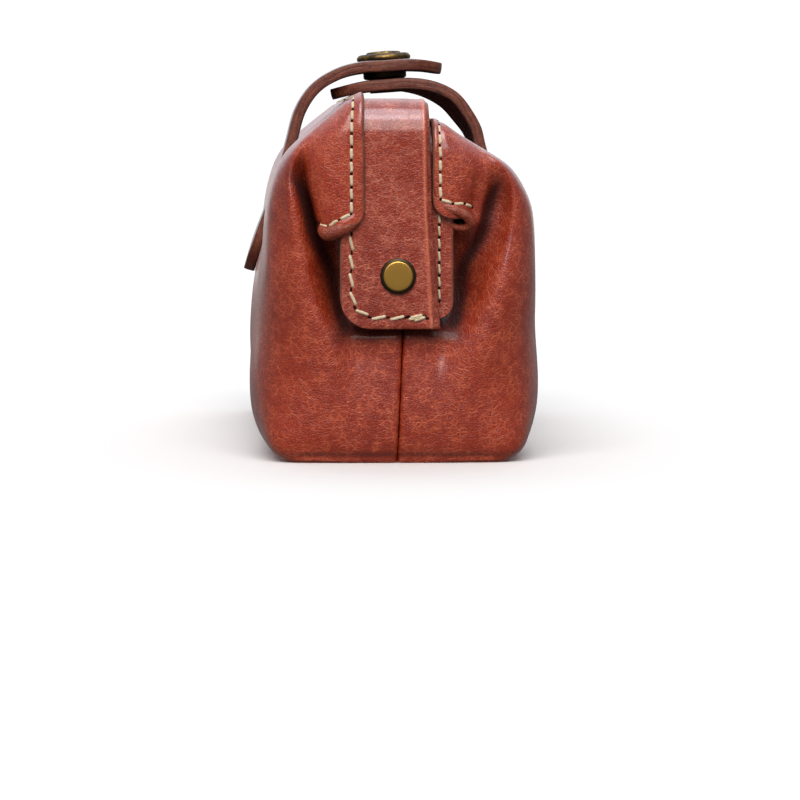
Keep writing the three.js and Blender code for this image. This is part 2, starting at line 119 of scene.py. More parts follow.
FRONT_UPPER = table(
    UPPER,
    (60.5, 63.4, 18.4, 2.0, 19.8, 5.0, 29.4, 2.9, 35.8, 32.0),
    (66.0, 67.4, 19.2, 1.6, 21.2, 4.4, 30.0, 3.2, 34.7, 29.4),
    (71.5, 70.8, 19.8, 1.2, 22.4, 3.2, 29.4, 3.4, 32.0, 27.0),
    (75.8, 73.2, 20.2, 0.9, 23.2, 2.2, 27.0, 3.8, 28.6, 24.6),
    (80.5, 75.0, 17.8, 0.7, 19.2, 1.5, 20.2, 2.8, 21.2, 20.0),
    (84.8, 76.6, 12.6, 0.3, 13.3, 0.7, 13.9, 1.4, 14.6, 14.2),
    (87.0, 77.9, 10.4, 0.1, 10.7, 0.3, 11.0, 0.6, 11.4, 11.2),
    (87.6, 79.1, 8.9, 0.0, 8.9, 0.0, 8.9, 0.0, 8.9, 8.9),
)
BACK_PANEL = dict(
    lower=BACK_LOWER, upper=BACK_UPPER, strip=BACK_STRIP,
    droop=2.2, gutter=-2.2, pleat=15, shade=5, hem_stitch=3.2, lip_stitch=3.2,
)
FRONT_PANEL = dict(
    lower=FRONT_LOWER, upper=FRONT_UPPER, strip=FRONT_STRIP,
    droop=-0.8, gutter=3.4, pleat=10, shade=10, hem_stitch=1.9, lip_stitch=3.6,
)

LIP = "depth y z radius"
BACK_LIP = table(
    LIP,
    (0.9, 9.6, 62.9, 0.7),
    (0.9, 10.8, 61.7, 1.1),
    (0.9, 12.4, 60.6, 1.45),
    (0.9, 14.3, 59.8, 1.65),
    (1.0, 16.3, 59.1, 1.8),
    (1.2, 18.0, 58.7, 1.8),
    (2.2, 19.0, 59.4, 1.4),
    (4.5, 19.0, 60.4, 0.9),
)
FRONT_LIP = table(
    LIP,
    (0.8, 9.9, 66.8, 0.6),
    (0.8, 11.2, 65.5, 0.95),
    (0.6, 13.2, 64.6, 1.1),
    (0.4, 15.6, 64.0, 1.2),
    (0.4, 17.6, 62.9, 1.35),
    (0.9, 18.5, 61.4, 1.35),
    (1.6, 17.6, 60.2, 1.0),
    (2.0, 16.2, 59.9, 0.85),
    (2.3, 14.6, 60.2, 0.8),
    (2.6, 13.2, 61.0, 0.7),
)

STRAP_FOOT = dict(low_z=46, high_z=70, points=4)
BACK_STRAP_RUN = [
    (26.4, 80.6), (23.6, 90.3), (19.4, 96.4), (13.2, 100.3),
    (7.2, 102.0), (0, 102.5), (-7.5, 102.9), (-15.7, 101.8),
]
FRONT_STRAP_RUN = [
    (26.1, 80.5), (24.7, 84.8), (22.2, 88.7), (18.7, 92.9), (15.1, 95.2),
    (10.5, 96.8), (5, 97.5), (0, 97.3), (-6, 96.7), (-14.6, 94.6),
]

STRAP_TWIST_SPAN = (30, 72)

# Mesh steps: along a ring from the end's middle to the middle of the side, and up the rows
RING_STEPS = (10, 7, 8, 10, 10, 12, 14, 14)
LOWER_STEPS = (8, 6, 8, 7, 6, 8, 8, 8)
UPPER_STEPS = (14, 9, 8, 8, 6, 5, 5)
VALLEY = sum(RING_STEPS[:3])
CORNER = sum(RING_STEPS[:5])
SPLIT = sum(LOWER_STEPS)
SEAM_ROLL = 1.8
CROSS_SEAM_Z = 1.6
CROSS_SEAM_DEPTH = 0.5
FOOT_ARCH = 0.5
GUSSET_PUSH = 1.2
SEAM_LEAN = 1.5
SEAM_LEAN_TOP = 34
EAR_FILLET = 4.2
EAR_TIP_Y = 17
EAR_ROUND = 1.8
ROOF_ROUND = 3.0
ROOF_SPAN = 6.5
LIP_SWELL = 0.25
HEM_BEVEL = 0.7
CUT_EDGE = 0.5
RIM_BULGE = 0.6
HEM_SWELL = 0.28
STITCH_SINK = 0.28
TOP_SINK = 0.45
CREASE_IN = (2.0, 1.4, 1.1)
CREASE_STEP = 0.55
CREASE_RIDGE = 0.28
TURNED_EDGE = 1.0
RIM_STEPS = 4
AVERAGING = 10
PLEAT_SHADE = 0.95
HOLLOW_SHADE = 0.85
BORDER_SHADE = 0.3
LIP_SHADE = 0.12

# Stitches: thread radius, slant, needle hole radius and distance between holes
CASING_STITCH = dict(radius=0.44, slant=0.06, hole=0.46, pitch=3.4)
OVER_STITCH = dict(radius=0.41, slant=0.26, hole=0.5, pitch=4.4)
UNDER_STITCH = dict(radius=0.32, slant=0.10, hole=0.5, pitch=3.4)
TAB_MARGIN = 2.9
UNDER_TAB_MARGIN = 3.6


# Finishes
class Wire:
    """A node's output that takes part in sums, so that shader maths reads as Python."""

    def __init__(self, finish, socket):
        self.finish = finish
        self.socket = socket

    def maths(self, operation, *values):
        inputs = dict(enumerate(values))
        return self.finish.node("ShaderNodeMath", {"operation": operation}, inputs)

    def __add__(self, other):
        return self.maths("ADD", self, other)

    def __sub__(self, other):
        return self.maths("SUBTRACT", self, other)

    def __mul__(self, other):
        return self.maths("MULTIPLY", self, other)

    def __radd__(self, other):
        return self.maths("ADD", other, self)

    def __rsub__(self, other):
        return self.maths("SUBTRACT", other, self)

    def __rmul__(self, other):
        return self.maths("MULTIPLY", other, self)

    def between(self, low, high):
        """0 below low, 1 above high and smooth between them."""
        inputs = {"Value": self, "From Min": low, "From Max": high}
        return self.finish.node("ShaderNodeMapRange", {"interpolation_type": "SMOOTHSTEP"}, inputs)


class Finish:
    """A material made of nodes around one principled shader."""

    def __init__(self, name, **constants):
        self.material = bpy.data.materials.new(name)
        self.material.use_nodes = True
        self.tree = self.material.node_tree
        self.tree.nodes.clear()
        self.shader = self.tree.nodes.new("ShaderNodeBsdfPrincipled")
        output = self.tree.nodes.new("ShaderNodeOutputMaterial")
        self.tree.links.new(self.shader.outputs[0], output.inputs[0])
        for socket, value in constants.items():
            self.set(socket.replace("_", " "), value)

    def feed(self, socket, value):
        if isinstance(value, Wire):
            self.tree.links.new(value.socket, socket)
        elif socket.type == "RGBA" and len(value) == 3:
            socket.default_value = (*value, 1)
        else:
            socket.default_value = value

    def set(self, socket, value):
        self.feed(self.shader.inputs[socket], value)

    def node(self, kind, settings, inputs, output=0):
        node = self.tree.nodes.new(kind)
        for name, value in settings.items():
            setattr(node, name, value)
        for socket, value in inputs.items():
            self.feed(node.inputs[socket], value)
        return Wire(self, node.outputs[output])

    def place(self):
        """The point on the piece, in metres."""
        return self.node("ShaderNodeTexCoord", {}, {}, "Object")

    def stretched(self, place, scale):
        settings = {"operation": "MULTIPLY"}
        return self.node("ShaderNodeVectorMath", settings, {0: place, 1: scale})

    def shifted(self, place, offset, amount):
        inputs = {0: offset, 1: (0.5, 0.5, 0.5)}
        centred = self.node("ShaderNodeVectorMath", {"operation": "SUBTRACT"}, inputs)
        inputs = {0: centred, 1: (amount,) * 3, 2: place}
        return self.node("ShaderNodeVectorMath", {"operation": "MULTIPLY_ADD"}, inputs)

    def noise(self, place, scale, detail=2.0, roughness=0.5, output=0):
        inputs = {"Vector": place, "Scale": scale, "Detail": detail, "Roughness": roughness}
        return self.node("ShaderNodeTexNoise", {}, inputs, output)

    def cells(self, place, scale):
        inputs = {"Vector": place, "Scale": scale}
        return self.node("ShaderNodeTexVoronoi", {"feature": "DISTANCE_TO_EDGE"}, inputs)

    def mix(self, factor, first, second):
        """A colour between two colours."""
        inputs = {0: factor, 6: first, 7: second}
        return self.node("ShaderNodeMix", {"data_type": "RGBA", "clamp_factor": True}, inputs, 2)

    def attribute(self, name):
        return self.node("ShaderNodeAttribute", {"attribute_name": name}, {}, "Fac")

    def bump(self, height, strength, distance):
        inputs = {"Height": height, "Strength": strength, "Distance": distance}
        self.set("Normal", self.node("ShaderNodeBump", {}, inputs))


def pebbled_leather(name, mid, dark, light, shaded_crease, coat=0.7):
    """Semi-gloss leather with a fine pebble grain, pale veins, dark pits, painted shade in its folds and a
    painted highlight along a crease.
    """
    finish = Finish(name, Coat_Roughness=0.19, Coat_IOR=1.6, Specular_IOR_Level=0.30)
    place = finish.place()
    warped = finish.shifted(place, finish.noise(place, 420, 2, output=1), 0.0016)
    pebble = finish.cells(warped, 1500).between(0.0, 0.26)
    coarse = finish.cells(warped, 560).between(0.0, 0.14)
    fine = finish.noise(place, 3600, 2)
    wrinkle = finish.noise(warped, 230, 3, 0.6)
    mottle = finish.noise(place, 26, 4, 0.62)
    pits = finish.noise(warped, 1250, 2, 0.6)
    painted_shade = finish.attribute("fold")
    veins = (1 - coarse + 0.6 * (1 - pebble)) * wrinkle.between(0.36, 0.60)
    colour = finish.mix(mottle.between(0.30, 0.72) * 0.8, mid, dark)
    colour = finish.mix(pits.between(0.46, 0.66) * 0.8, colour, dark)
    colour = finish.mix(veins * 0.7, colour, light)
    # Painted highlight: a paler colour along the strip's crease ridge, where the strip marks it
    colour = finish.mix(finish.attribute("wear_and_painted_highlight"), colour, tuple(1.35 * c for c in light))
    # Painted shade: the fold mark mixes in the shade colour and takes gloss away in pleats, hollows, strip
    # borders and lips
    colour = finish.mix(painted_shade, colour, shaded_crease)
    finish.set("Base Color", colour)
    finish.set("Roughness", 0.36 + 0.10 * mottle + 0.25 * painted_shade)
    finish.set("Coat Weight", coat * (1 - painted_shade))
    height = 0.45 * pebble + 0.30 * coarse + 0.20 * fine + 0.45 * wrinkle
    finish.bump(height, 0.5, 0.0005)
    return finish.material


def raw_edge(name, colour, dark):
    """The cut edge of leather: fibres in layers, lightly burnished."""
    finish = Finish(name, Specular_IOR_Level=0.3)
    place = finish.place()
    fibres = finish.noise(place, 2100, 3, 0.7)
    layers = finish.noise(place, 260, 3, 0.6)
    finish.set("Base Color", finish.mix(layers.between(0.35, 0.7) * 0.8, colour, dark))
    finish.set("Roughness", 0.55 + 0.25 * fibres)
    finish.bump(fibres + layers, 0.4, 0.0003)
    return finish.material


def layered_edge(name, colour, pale, dark):
    """A strap's cut edge: streaks of fibre, pale near the grain side, with painted shade darkening it near
    the flesh side.
    """
    finish = Finish(name, Specular_IOR_Level=0.35)
    depth, along = finish.attribute("depth"), finish.attribute("along")
    streak_place = finish.node("ShaderNodeCombineXYZ", {}, {0: along * 0.16, 1: depth * 6})
    streaks = finish.noise(streak_place, 1, 4, 0.65)
    place = finish.place()
    fibres = finish.noise(place, 1900, 3, 0.7)
    patches = finish.noise(place, 520, 3, 0.6)
    tone = finish.mix((0.6 * streaks + 0.4 * patches).between(0.40, 0.62), colour, pale)
    # Painted shade: darker towards the flesh side of the edge, with a ragged boundary
    shade = (depth + 0.9 * (patches - 0.5)).between(0.62, 0.98)
    finish.set("Base Color", finish.mix(shade * 0.9, tone, dark))
    finish.set("Roughness", 0.42 + 0.3 * fibres)
    finish.bump(fibres + 2 * streaks, 0.5, 0.0004)
    return finish.material


def flesh_side(name, colour, dark):
    """The rough inner side of leather."""
    finish = Finish(name, Specular_IOR_Level=0.2)
    place = finish.place()
    nap = finish.noise(place, 1500, 4, 0.7)
    finish.set("Base Color", finish.mix(nap, dark, colour))
    finish.set("Roughness", 0.82 + 0.12 * nap)
    finish.bump(nap, 0.6, 0.0005)
    return finish.material


def waxed_thread(name, colour, shade):
    finish = Finish(name, Specular_IOR_Level=0.35)
    place = finish.place()
    ply = finish.noise(place, 2600, 2, 0.6)
    soil = finish.noise(place, 240, 3, 0.6)
    finish.set("Base Color", finish.mix(soil.between(0.4, 0.75) * 0.6, colour, shade))
    finish.set("Roughness", 0.6 + 0.25 * ply)
    finish.bump(ply, 0.5, 0.0002)
    return finish.material


# Painted shade: the dark colour stands for the shade inside the needle holes
def hole_shade(name, colour):
    finish = Finish(name, Specular_IOR_Level=0.1)
    place = finish.place()
    grain = finish.noise(place, 1800, 2)
    finish.set("Base Color", finish.mix(grain, colour, tuple(0.5 * c for c in colour)))
    finish.set("Roughness", 0.85 + 0.1 * grain)
    return finish.material


def aged_brass(name, bright, dark, wear):
    """Brass with dark patina, worn bright where the wear attribute and a patchy noise say so."""
    finish = Finish(name, Metallic=1.0)
    place = finish.place()
    patch = finish.noise(place, 330, 3, 0.6)
    scuff = finish.noise(finish.stretched(place, (1, 3, 1)), 1900, 3, 0.7)
    wear_and_painted_highlight = (finish.attribute("worn") * wear + (patch - 0.5) * 0.9).between(0.15, 0.62)
    finish.set("Base Color", finish.mix(wear_and_painted_highlight, dark, bright))
    finish.set("Roughness", 0.42 - 0.12 * wear_and_painted_highlight + 0.14 * scuff)
    finish.bump(scuff + 0.5 * patch, 0.12, 0.0002)
    return finish.material


def plain_floor(name):
    finish = Finish(name, Specular_IOR_Level=0.1)
    place = finish.place()
    finish.set("Base Color", finish.mix(finish.noise(place, 3, 2), (0.97, 0.93, 0.89), (0.99, 0.95, 0.91)))
    finish.set("Roughness", 0.8 + 0.1 * finish.noise(place, 9, 2))
    return finish.material


# Each leather's fourth colour is the painted shade that its fold mark mixes in
BODY = pebbled_leather(
    "body leather", (0.46, 0.042, 0.009), (0.29, 0.022, 0.005), (0.62, 0.105, 0.040), (0.030, 0.002, 0.001)
)
STRIP = pebbled_leather(
    "strip leather", (0.42, 0.040, 0.010), (0.26, 0.022, 0.006), (0.60, 0.140, 0.075), (0.050, 0.006, 0.003)
)
STRAP = pebbled_leather(
    "strap leather", (0.17, 0.038, 0.020), (0.11, 0.024, 0.013), (0.25, 0.068, 0.040), (0.05, 0.010, 0.006)
)
LIP_LEATHER = pebbled_leather(
    "lip leather", (0.36, 0.062, 0.026), (0.20, 0.034, 0.016), (0.46, 0.100, 0.050), (0.060, 0.010, 0.005),
    coat=0.0,
)
EDGE = raw_edge("cut edge", (0.30, 0.095, 0.055), (0.16, 0.045, 0.026))
# The strap edge's third colour is its painted shade near the flesh side
STRAP_EDGE = layered_edge("strap edge", (0.12, 0.029, 0.015), (0.25, 0.075, 0.038), (0.022, 0.009, 0.007))
# Flesh side: a dark brown, made darker still to paint the shade that the straps' undersides lie in
FLESH = flesh_side("flesh side", (0.060, 0.024, 0.016), (0.022, 0.010, 0.007))
THREAD = waxed_thread("cream thread", (0.82, 0.68, 0.45), (0.60, 0.43, 0.24))
HOLE_SHADE = hole_shade("needle hole", (0.022, 0.006, 0.004))
BRASS = aged_brass("aged brass", (0.56, 0.31, 0.065), (0.055, 0.037, 0.021), 1.0)


# Meshes
def spline(points, t):
    """Centripetal curve through points[0], points[1] and so on, at the steps t."""
    points = np.asarray(points, float)
    padded = np.concatenate([[2 * points[0] - points[1]], points, [2 * points[-1] - points[-2]]])
    i = np.clip(np.floor(t).astype(int), 0, len(points) - 2)
    f = (t - i).reshape(-1, *[1] * (points.ndim - 1))
    p0, p1, p2, p3 = (padded[i + k] for k in range(4))

    def knot(a, b):
        return np.maximum(np.linalg.norm(b - a, axis=-1, keepdims=True), 1e-4) ** 0.5

    d0, d1, d2 = knot(p0, p1), knot(p1, p2), knot(p2, p3)
    m1 = ((p1 - p0) / d0 - (p2 - p0) / (d0 + d1) + (p2 - p1) / d1) * d1
    m2 = ((p2 - p1) / d1 - (p3 - p1) / (d1 + d2) + (p3 - p2) / d2) * d1
    return p1 + f * (m1 + f * (3 * (p2 - p1) - 2 * m1 - m2 + f * (2 * (p1 - p2) + m1 + m2)))


def stops(steps, crowd=1.0):
    """Steps along a spline, a count for each stretch. The first stretch crowds towards its start."""
    parts = [i + np.arange(n) / n for i, n in enumerate(steps)]
    parts[0] = parts[0] ** crowd
    return np.concatenate([*parts, [len(steps)]])


def mixed(a, b, f):
    return a + (b - a) * f


def unit(vectors):
    return vectors / np.maximum(np.linalg.norm(vectors, axis=1, keepdims=True), 1e-9)


def smooth(value, low, high):
    """0 below low, 1 above high and smooth between them."""
    f = np.clip((value - low) / (high - low), 0, 1)
    return f * f * (3 - 2 * f)


def bump(distance, width):
    """1 at no distance, falling away over a width."""
    return np.exp(-((distance / width) ** 2))


def averaged(grid, axis):
    """Each inner point moved to the weighted mean of itself and its neighbours along an axis."""
    line = np.moveaxis(grid, axis, 0).copy()
    line[1:-1] = (line[:-2] + 2 * line[1:-1] + line[2:]) / 4
    return np.moveaxis(line, 0, axis)


def grid_quads(grid, first):
    """Faces between rows of points, numbered from first, facing to the side of up times along."""
    rows, columns = grid.shape[:2]
    index = first + np.arange(rows * columns).reshape(rows, columns)
    corners = (index[:-1, :-1], index[1:, :-1], index[1:, 1:], index[:-1, 1:])
    return np.stack([c.ravel() for c in corners], axis=1)


def wrapped_quads(index):
    """Faces between neighbouring closed rings of point numbers."""
    after = np.roll(index, -1, axis=-1)
    corners = (index[..., :-1, :], after[..., :-1, :], after[..., 1:, :], index[..., 1:, :])
    return np.stack(corners, axis=-1).reshape(-1, 4)


def welded(grids):
    """One sheet from grids that share edge points: points and faces."""
    points = np.concatenate([g.reshape(-1, 3) for g in grids])
    faces = []
    first = 0
    for grid in grids:
        faces.append(grid_quads(grid, first))
        first += grid.shape[0] * grid.shape[1]
    _, keep, renumber = np.unique(np.round(points, 3), axis=0, return_index=True, return_inverse=True)
    return points[keep], renumber.reshape(-1)[np.concatenate(faces)]


def grid_normals(grid):
    normals = np.cross(np.gradient(grid, axis=0), np.gradient(grid, axis=1))
    return normals / np.maximum(np.linalg.norm(normals, axis=2, keepdims=True), 1e-9)


def sheet_normals(points, faces):
    """Directions out of a sheet, softened over the neighbours so that a pinched corner follows them."""
    a, b, c, d = (points[faces[:, k]] for k in range(4))
    face_normals = np.cross(c - a, d - b)
    for _ in range(2):
        normals = np.zeros_like(points)
        for k in range(4):
            np.add.at(normals, faces[:, k], face_normals)
        normals = unit(normals)
        face_normals = normals[faces].sum(axis=1)
    return normals


def open_edges(faces, count):
    """Directed edges that only one face has."""
    edges = np.concatenate([faces[:, [k, (k + 1) % 4]] for k in range(4)])
    forward = edges[:, 0] * count + edges[:, 1]
    backward = edges[:, 1] * count + edges[:, 0]
    return edges[~np.isin(forward, backward)]


def shell(points, faces, thickness, bulge):
    """A wall under a sheet, with rounded rims. Kinds of faces: 0 outside, 1 rim, 2 inside."""
    count = len(points)
    normals = sheet_normals(points, faces)
    edges = open_edges(faces, count)
    along = points[edges[:, 1]] - points[edges[:, 0]]
    away = np.cross(along, normals[edges[:, 0]] + normals[edges[:, 1]])
    away /= np.maximum(np.linalg.norm(away, axis=1, keepdims=True), 1e-9)
    outward = np.zeros_like(points)
    np.add.at(outward, edges[:, 0], away)
    np.add.at(outward, edges[:, 1], away)
    outward /= np.maximum(np.linalg.norm(outward, axis=1, keepdims=True), 1e-9)
    rim = np.unique(edges)
    place = np.full(count, -1)
    place[rim] = np.arange(len(rim))
    layers = [points]
    for k in range(1, RIM_STEPS):
        turn = math.pi * k / RIM_STEPS
        drop = thickness * (1 - math.cos(turn)) / 2
        layers.append(points[rim] - normals[rim] * drop + outward[rim] * bulge * math.sin(turn))
    layers.append(points - normals * thickness)
    start = np.cumsum([0, *[len(layer) for layer in layers]])

    def ring(k, index):
        if k == 0:
            return index
        return start[k] + (index if k == RIM_STEPS else place[index])

    rims = []
    for k in range(RIM_STEPS):
        upper, lower = ring(k, edges), ring(k + 1, edges)
        rims.append(np.stack([upper[:, 1], upper[:, 0], lower[:, 0], lower[:, 1]], axis=1))
    inside = start[RIM_STEPS] + faces[:, ::-1]
    groups = [faces, np.concatenate(rims), inside]
    kinds = np.repeat([0, 1, 2], [len(g) for g in groups])
    return np.concatenate(layers), np.concatenate(groups), kinds


def wall_depth(outer_count, count):
    """How deep each point of a shell lies under its outer sheet, from 0 to 1."""
    rim_count = (count - 2 * outer_count) // (RIM_STEPS - 1)
    steps = [np.full(rim_count, k / RIM_STEPS) for k in range(1, RIM_STEPS)]
    return np.concatenate([np.zeros(outer_count), *steps, np.ones(outer_count)])


def make_piece(name, points, faces, finishes, slot, kinds=None, marks=None):
    """An object from points in millimetres, riding on the clutch's one body."""
    mesh = bpy.data.meshes.new(name)
    mesh.from_pydata((np.asarray(points) * MM).tolist(), [], [list(map(int, face)) for face in faces])
    for finish in finishes:
        mesh.materials.append(finish)
    if kinds is not None:
        mesh.polygons.foreach_set("material_index", np.asarray(kinds, np.int32))
    mesh.polygons.foreach_set("use_smooth", np.ones(len(mesh.polygons), bool))
    for mark, values in (marks or {}).items():
        attribute = mesh.attributes.new(mark, "FLOAT", "POINT")
        attribute.data.foreach_set("value", np.asarray(values, np.float32))
    mesh.update()
    piece = bpy.data.objects.new(name, mesh)
    bpy.context.scene.collection.objects.link(piece)
    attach(piece, "root")
    return piece


def mirrored(points, faces):
    return points * (1, -1, 1), faces[:, ::-1]


# Panels
def side_wall(row, ridge, roundness):
    corner_x = mixed(ridge[0], -SIDE_START, roundness)
    corner_y = mixed(ridge[1], row["end_y"], 1 - 1.15 * roundness)
    quarter_y = mixed(row["end_y"], row["mid_y"], 0.75)
    return [
        (corner_x, corner_y, row["z"]),
        (-SIDE_START, row["end_y"], row["z"]),
        (-SIDE_START / 2, quarter_y, row["z"]),
        (0, row["mid_y"], row["z"]),
    ]


def lower_ring(row):
    gusset = [
        (-mixed(row["seam_x"], row["valley_x"], f), mixed(SEAM_HALF_GAP, row["valley_y"], f), row["z"])
        for f in GUSSET_STOPS
    ]
    ridge = (-row["ridge_x"], row["ridge_y"], row["z"])
    return [*gusset, ridge, *side_wall(row, ridge, row["corner"])]


def outer_face(panel):
    """Distance of the casing's flat outer face from the middle of the length."""
    return panel["strip"]["face"] + CLEARANCE + WALL


def casing_face(panel, z):
    """Distance of the casing's outer face from the middle of the length, round the strip's bend."""
    top = panel["upper"][-1]
    radius = top["z"] - top["cut_z"]
    face = outer_face(panel)
    rise = min(max(z - top["cut_z"], 0), radius)
    return face - radius + math.sqrt(radius**2 - rise**2)


def upper_ring(panel, row):
    cut_y = panel["upper"][-1]["end_y"]
    valley_rise = 1 if row is panel["upper"][0] else CASING_RISE["valley"]

    def at(y, depth, rise):
        z = mixed(row["cut_z"], row["z"], rise)
        return (depth - casing_face(panel, z), y, z)

    ridge = at(row["ridge_y"], row["ridge_in"], 1)
    return [
        at(cut_y, 0, CASING_RISE["cut"]),
        at(mixed(cut_y, row["fold_y"], CASING_FLAT), 0, CASING_RISE["flat"]),
        at(row["fold_y"], row["fold_in"], CASING_RISE["fold"]),
        at(row["valley_y"], row["valley_in"], valley_rise),
        ridge,
        *side_wall(row, ridge, UPPER_CORNER),
    ]


def whole_rings(halves):
    """Rings of fine points from half rings of control points: rows by columns."""
    halves = np.array(halves, float)
    other = halves[:, -2::-1] * (-1, 1, 1)
    rings = np.concatenate([halves, other], axis=1).swapaxes(0, 1)
    t = stops(RING_STEPS, 1.8)
    t = np.concatenate([t, 2 * len(RING_STEPS) - t[-2::-1]])
    return spline(rings, t).swapaxes(0, 1)


def bottom_grid(ring):
    """Flat bottom inside the lowest ring, between the two cross seams and the centre seam."""
    last = len(ring) - 1
    edge = ring[CORNER : last - CORNER + 1]
    g = np.linspace(0, 1, len(edge))[:, None]
    seam = mixed(ring[0], ring[last], g)
    rows = []
    for r in range(CORNER + 1):
        f = r / CORNER
        across = mixed(ring[r], ring[last - r], g)
        along = mixed(seam, edge, f)
        base = mixed(seam, mixed(edge[0], edge[-1], g), f)
        rows.append(across + along - base)
    return np.array(rows)


def roll(distance, radius):
    """How far an edge that is turned in over a radius has sunk at a distance from the seam."""
    short = np.clip(radius - distance, 0, radius)
    return radius - np.sqrt(radius**2 - short**2)


def panel_grids(panel):
    lower = whole_rings([lower_ring(row) for row in panel["lower"]])
    upper = whole_rings([upper_ring(panel, row) for row in panel["upper"]])
    columns = lower.shape[1]
    through = slice(VALLEY, columns - VALLEY)
    low_t, high_t = stops(LOWER_STEPS, 1.5), stops(UPPER_STEPS, 1.4)
    whole_t = np.concatenate([low_t, len(LOWER_STEPS) + high_t[1:]])
    whole = spline(np.concatenate([lower, upper[1:]]), whole_t)
    lower, upper = spline(lower, low_t), spline(upper, high_t)
    lower[:, through], upper[:, through] = whole[: SPLIT + 1, through], whole[SPLIT:, through]
    for _ in range(AVERAGING):
        lower, upper = averaged(lower, 1), averaged(upper, 1)
        both = averaged(np.concatenate([lower, upper[1:]]), 0)
        lower, upper = averaged(lower, 0), averaged(upper, 0)
        lower[:, through], upper[:, through] = both[: SPLIT + 1, through], both[SPLIT:, through]
    return lower, upper


def shape_pleat(panel, grid):
    """The slope from the pleat's valley to its ridge hollowed out or swollen beside the ear."""
    columns = grid.shape[1]
    slope = np.zeros(columns)
    slope[VALLEY : VALLEY + panel["pleat"] + 1] = np.sin(np.linspace(0, math.pi, panel["pleat"] + 1))
    slope = slope + slope[::-1]
    z = grid[:, :, 2]
    span = smooth(z, 42, 62) * (1 - smooth(z, 64, 80))
    grid[:, :, 0] -= np.sign(grid[:, :, 0]) * panel["gutter"] * slope * span


def round_roof(panel, upper):
    """The roof's ends drawn in, so that they turn down into the casing's face."""
    rows = panel["upper"][:2:-1]
    roof = np.interp(upper[:, :, 1], [row["ridge_y"] for row in rows], [row["z"] for row in rows])
    x, y, z = upper[:, :, 0], upper[:, :, 1], upper[:, :, 2]
    cut_y = panel["upper"][-1]["end_y"]
    share = smooth(y - cut_y, 2.5, 7.0) * (1 - smooth(y, 20, 26)) * smooth(np.abs(x), 70, 104)
    near_roof = np.clip(1 - np.maximum(roof - z, 0) / ROOF_SPAN, 0, 1) ** 2
    upper[:, :, 0] = x - np.sign(x) * share * ROOF_ROUND * near_roof


def along_columns(grid):
    """Distance of each point from the grid's first row, along its column."""
    steps = np.linalg.norm(np.diff(grid, axis=0), axis=2)
    return np.concatenate([np.zeros((1, grid.shape[1])), np.cumsum(steps, axis=0)])


def casing_normals(panel, grid):
    """Directions out of the casing's face, round its bend and up from its top."""
    top = panel["upper"][-1]
    centre = outer_face(panel) - (top["z"] - top["cut_z"])
    out = np.zeros_like(grid)
    out[:, :, 0] = np.sign(grid[:, :, 0]) * np.maximum(np.abs(grid[:, :, 0]) - centre, 0)
    out[:, :, 2] = np.maximum(grid[:, :, 2] - top["cut_z"], 0)
    return out / np.maximum(np.linalg.norm(out, axis=2, keepdims=True), 1e-6)


def shape_ear(panel, upper):
    """The ear's rounded corner, its drooping tip, its thick lip and the hem sewn down along the cut edge."""
    cut_y = panel["upper"][-1]["end_y"]
    face = outer_face(panel)
    edge_x, edge_y = np.abs(upper[0, :, 0]), upper[0, :, 1].copy()
    flap = np.zeros(upper.shape[1])
    flap[:VALLEY] = flap[-VALLEY:] = 1
    shallow = flap * (1 - smooth(face - edge_x, 3, 10))
    from_edge = along_columns(upper)
    hang = roll(edge_y - cut_y, EAR_FILLET) - panel["droop"] * bump(edge_y - EAR_TIP_Y, 2.4)
    upper[:, :, 2] += hang * shallow * (1 - smooth(from_edge, 2, 9))
    from_edge = along_columns(upper)
    from_cut = upper[:, :, 1] - cut_y
    lip = LIP_SWELL * bump(from_edge - 1.2, 1.2) - STITCH_SINK * bump(from_edge - panel["lip_stitch"], 0.6)
    lip = lip * shallow * smooth(from_cut, 1.5, 3.5)
    hem = HEM_SWELL * bump(from_cut - 0.9, 0.9) - STITCH_SINK * bump(from_cut - panel["hem_stitch"], 0.6)
    hem = hem * np.where(flap > 0, smooth(from_edge, 2.4, 4.4), 1) - 0.5 * roll(from_cut, HEM_BEVEL)
    column = np.arange(upper.shape[1])
    column = np.minimum(column, column[::-1])
    fold = RING_STEPS[0] + RING_STEPS[1]
    turned_away = np.clip((column - 5) / (fold - 5), 0, 1) ** 2 * (1 - smooth(column, fold, VALLEY))
    high = smooth(upper[:, :, 2], panel["upper"][1]["z"], panel["upper"][4]["z"])
    hem = hem - EAR_ROUND * turned_away * (1 - high)
    upper += grid_normals(upper) * lip[:, :, None] + casing_normals(panel, upper) * hem[:, :, None]


def run_length(line):
    """Distance of each point of a line from its first point, along the line."""
    return np.concatenate([[0], np.cumsum(np.linalg.norm(np.diff(line, axis=0), axis=1))])


def at_distance(line, distance):
    """The point at a distance along a line of points."""
    along = run_length(line)
    return [np.interp(distance, along, line[:, k]) for k in range(3)]


def ear_line(panel, upper):
    """Where the ear's stitches run above its lip, from the tip to the hem, at the left end."""
    cut_y = panel["upper"][-1]["end_y"]
    face = outer_face(panel)
    line = np.array([at_distance(upper[:, c], panel["lip_stitch"]) for c in range(VALLEY)])
    wanted = (line[:, 1] > cut_y + panel["hem_stitch"] + 0.6) & (line[:, 0] < 4.0 - face)
    return line[wanted][::-1]


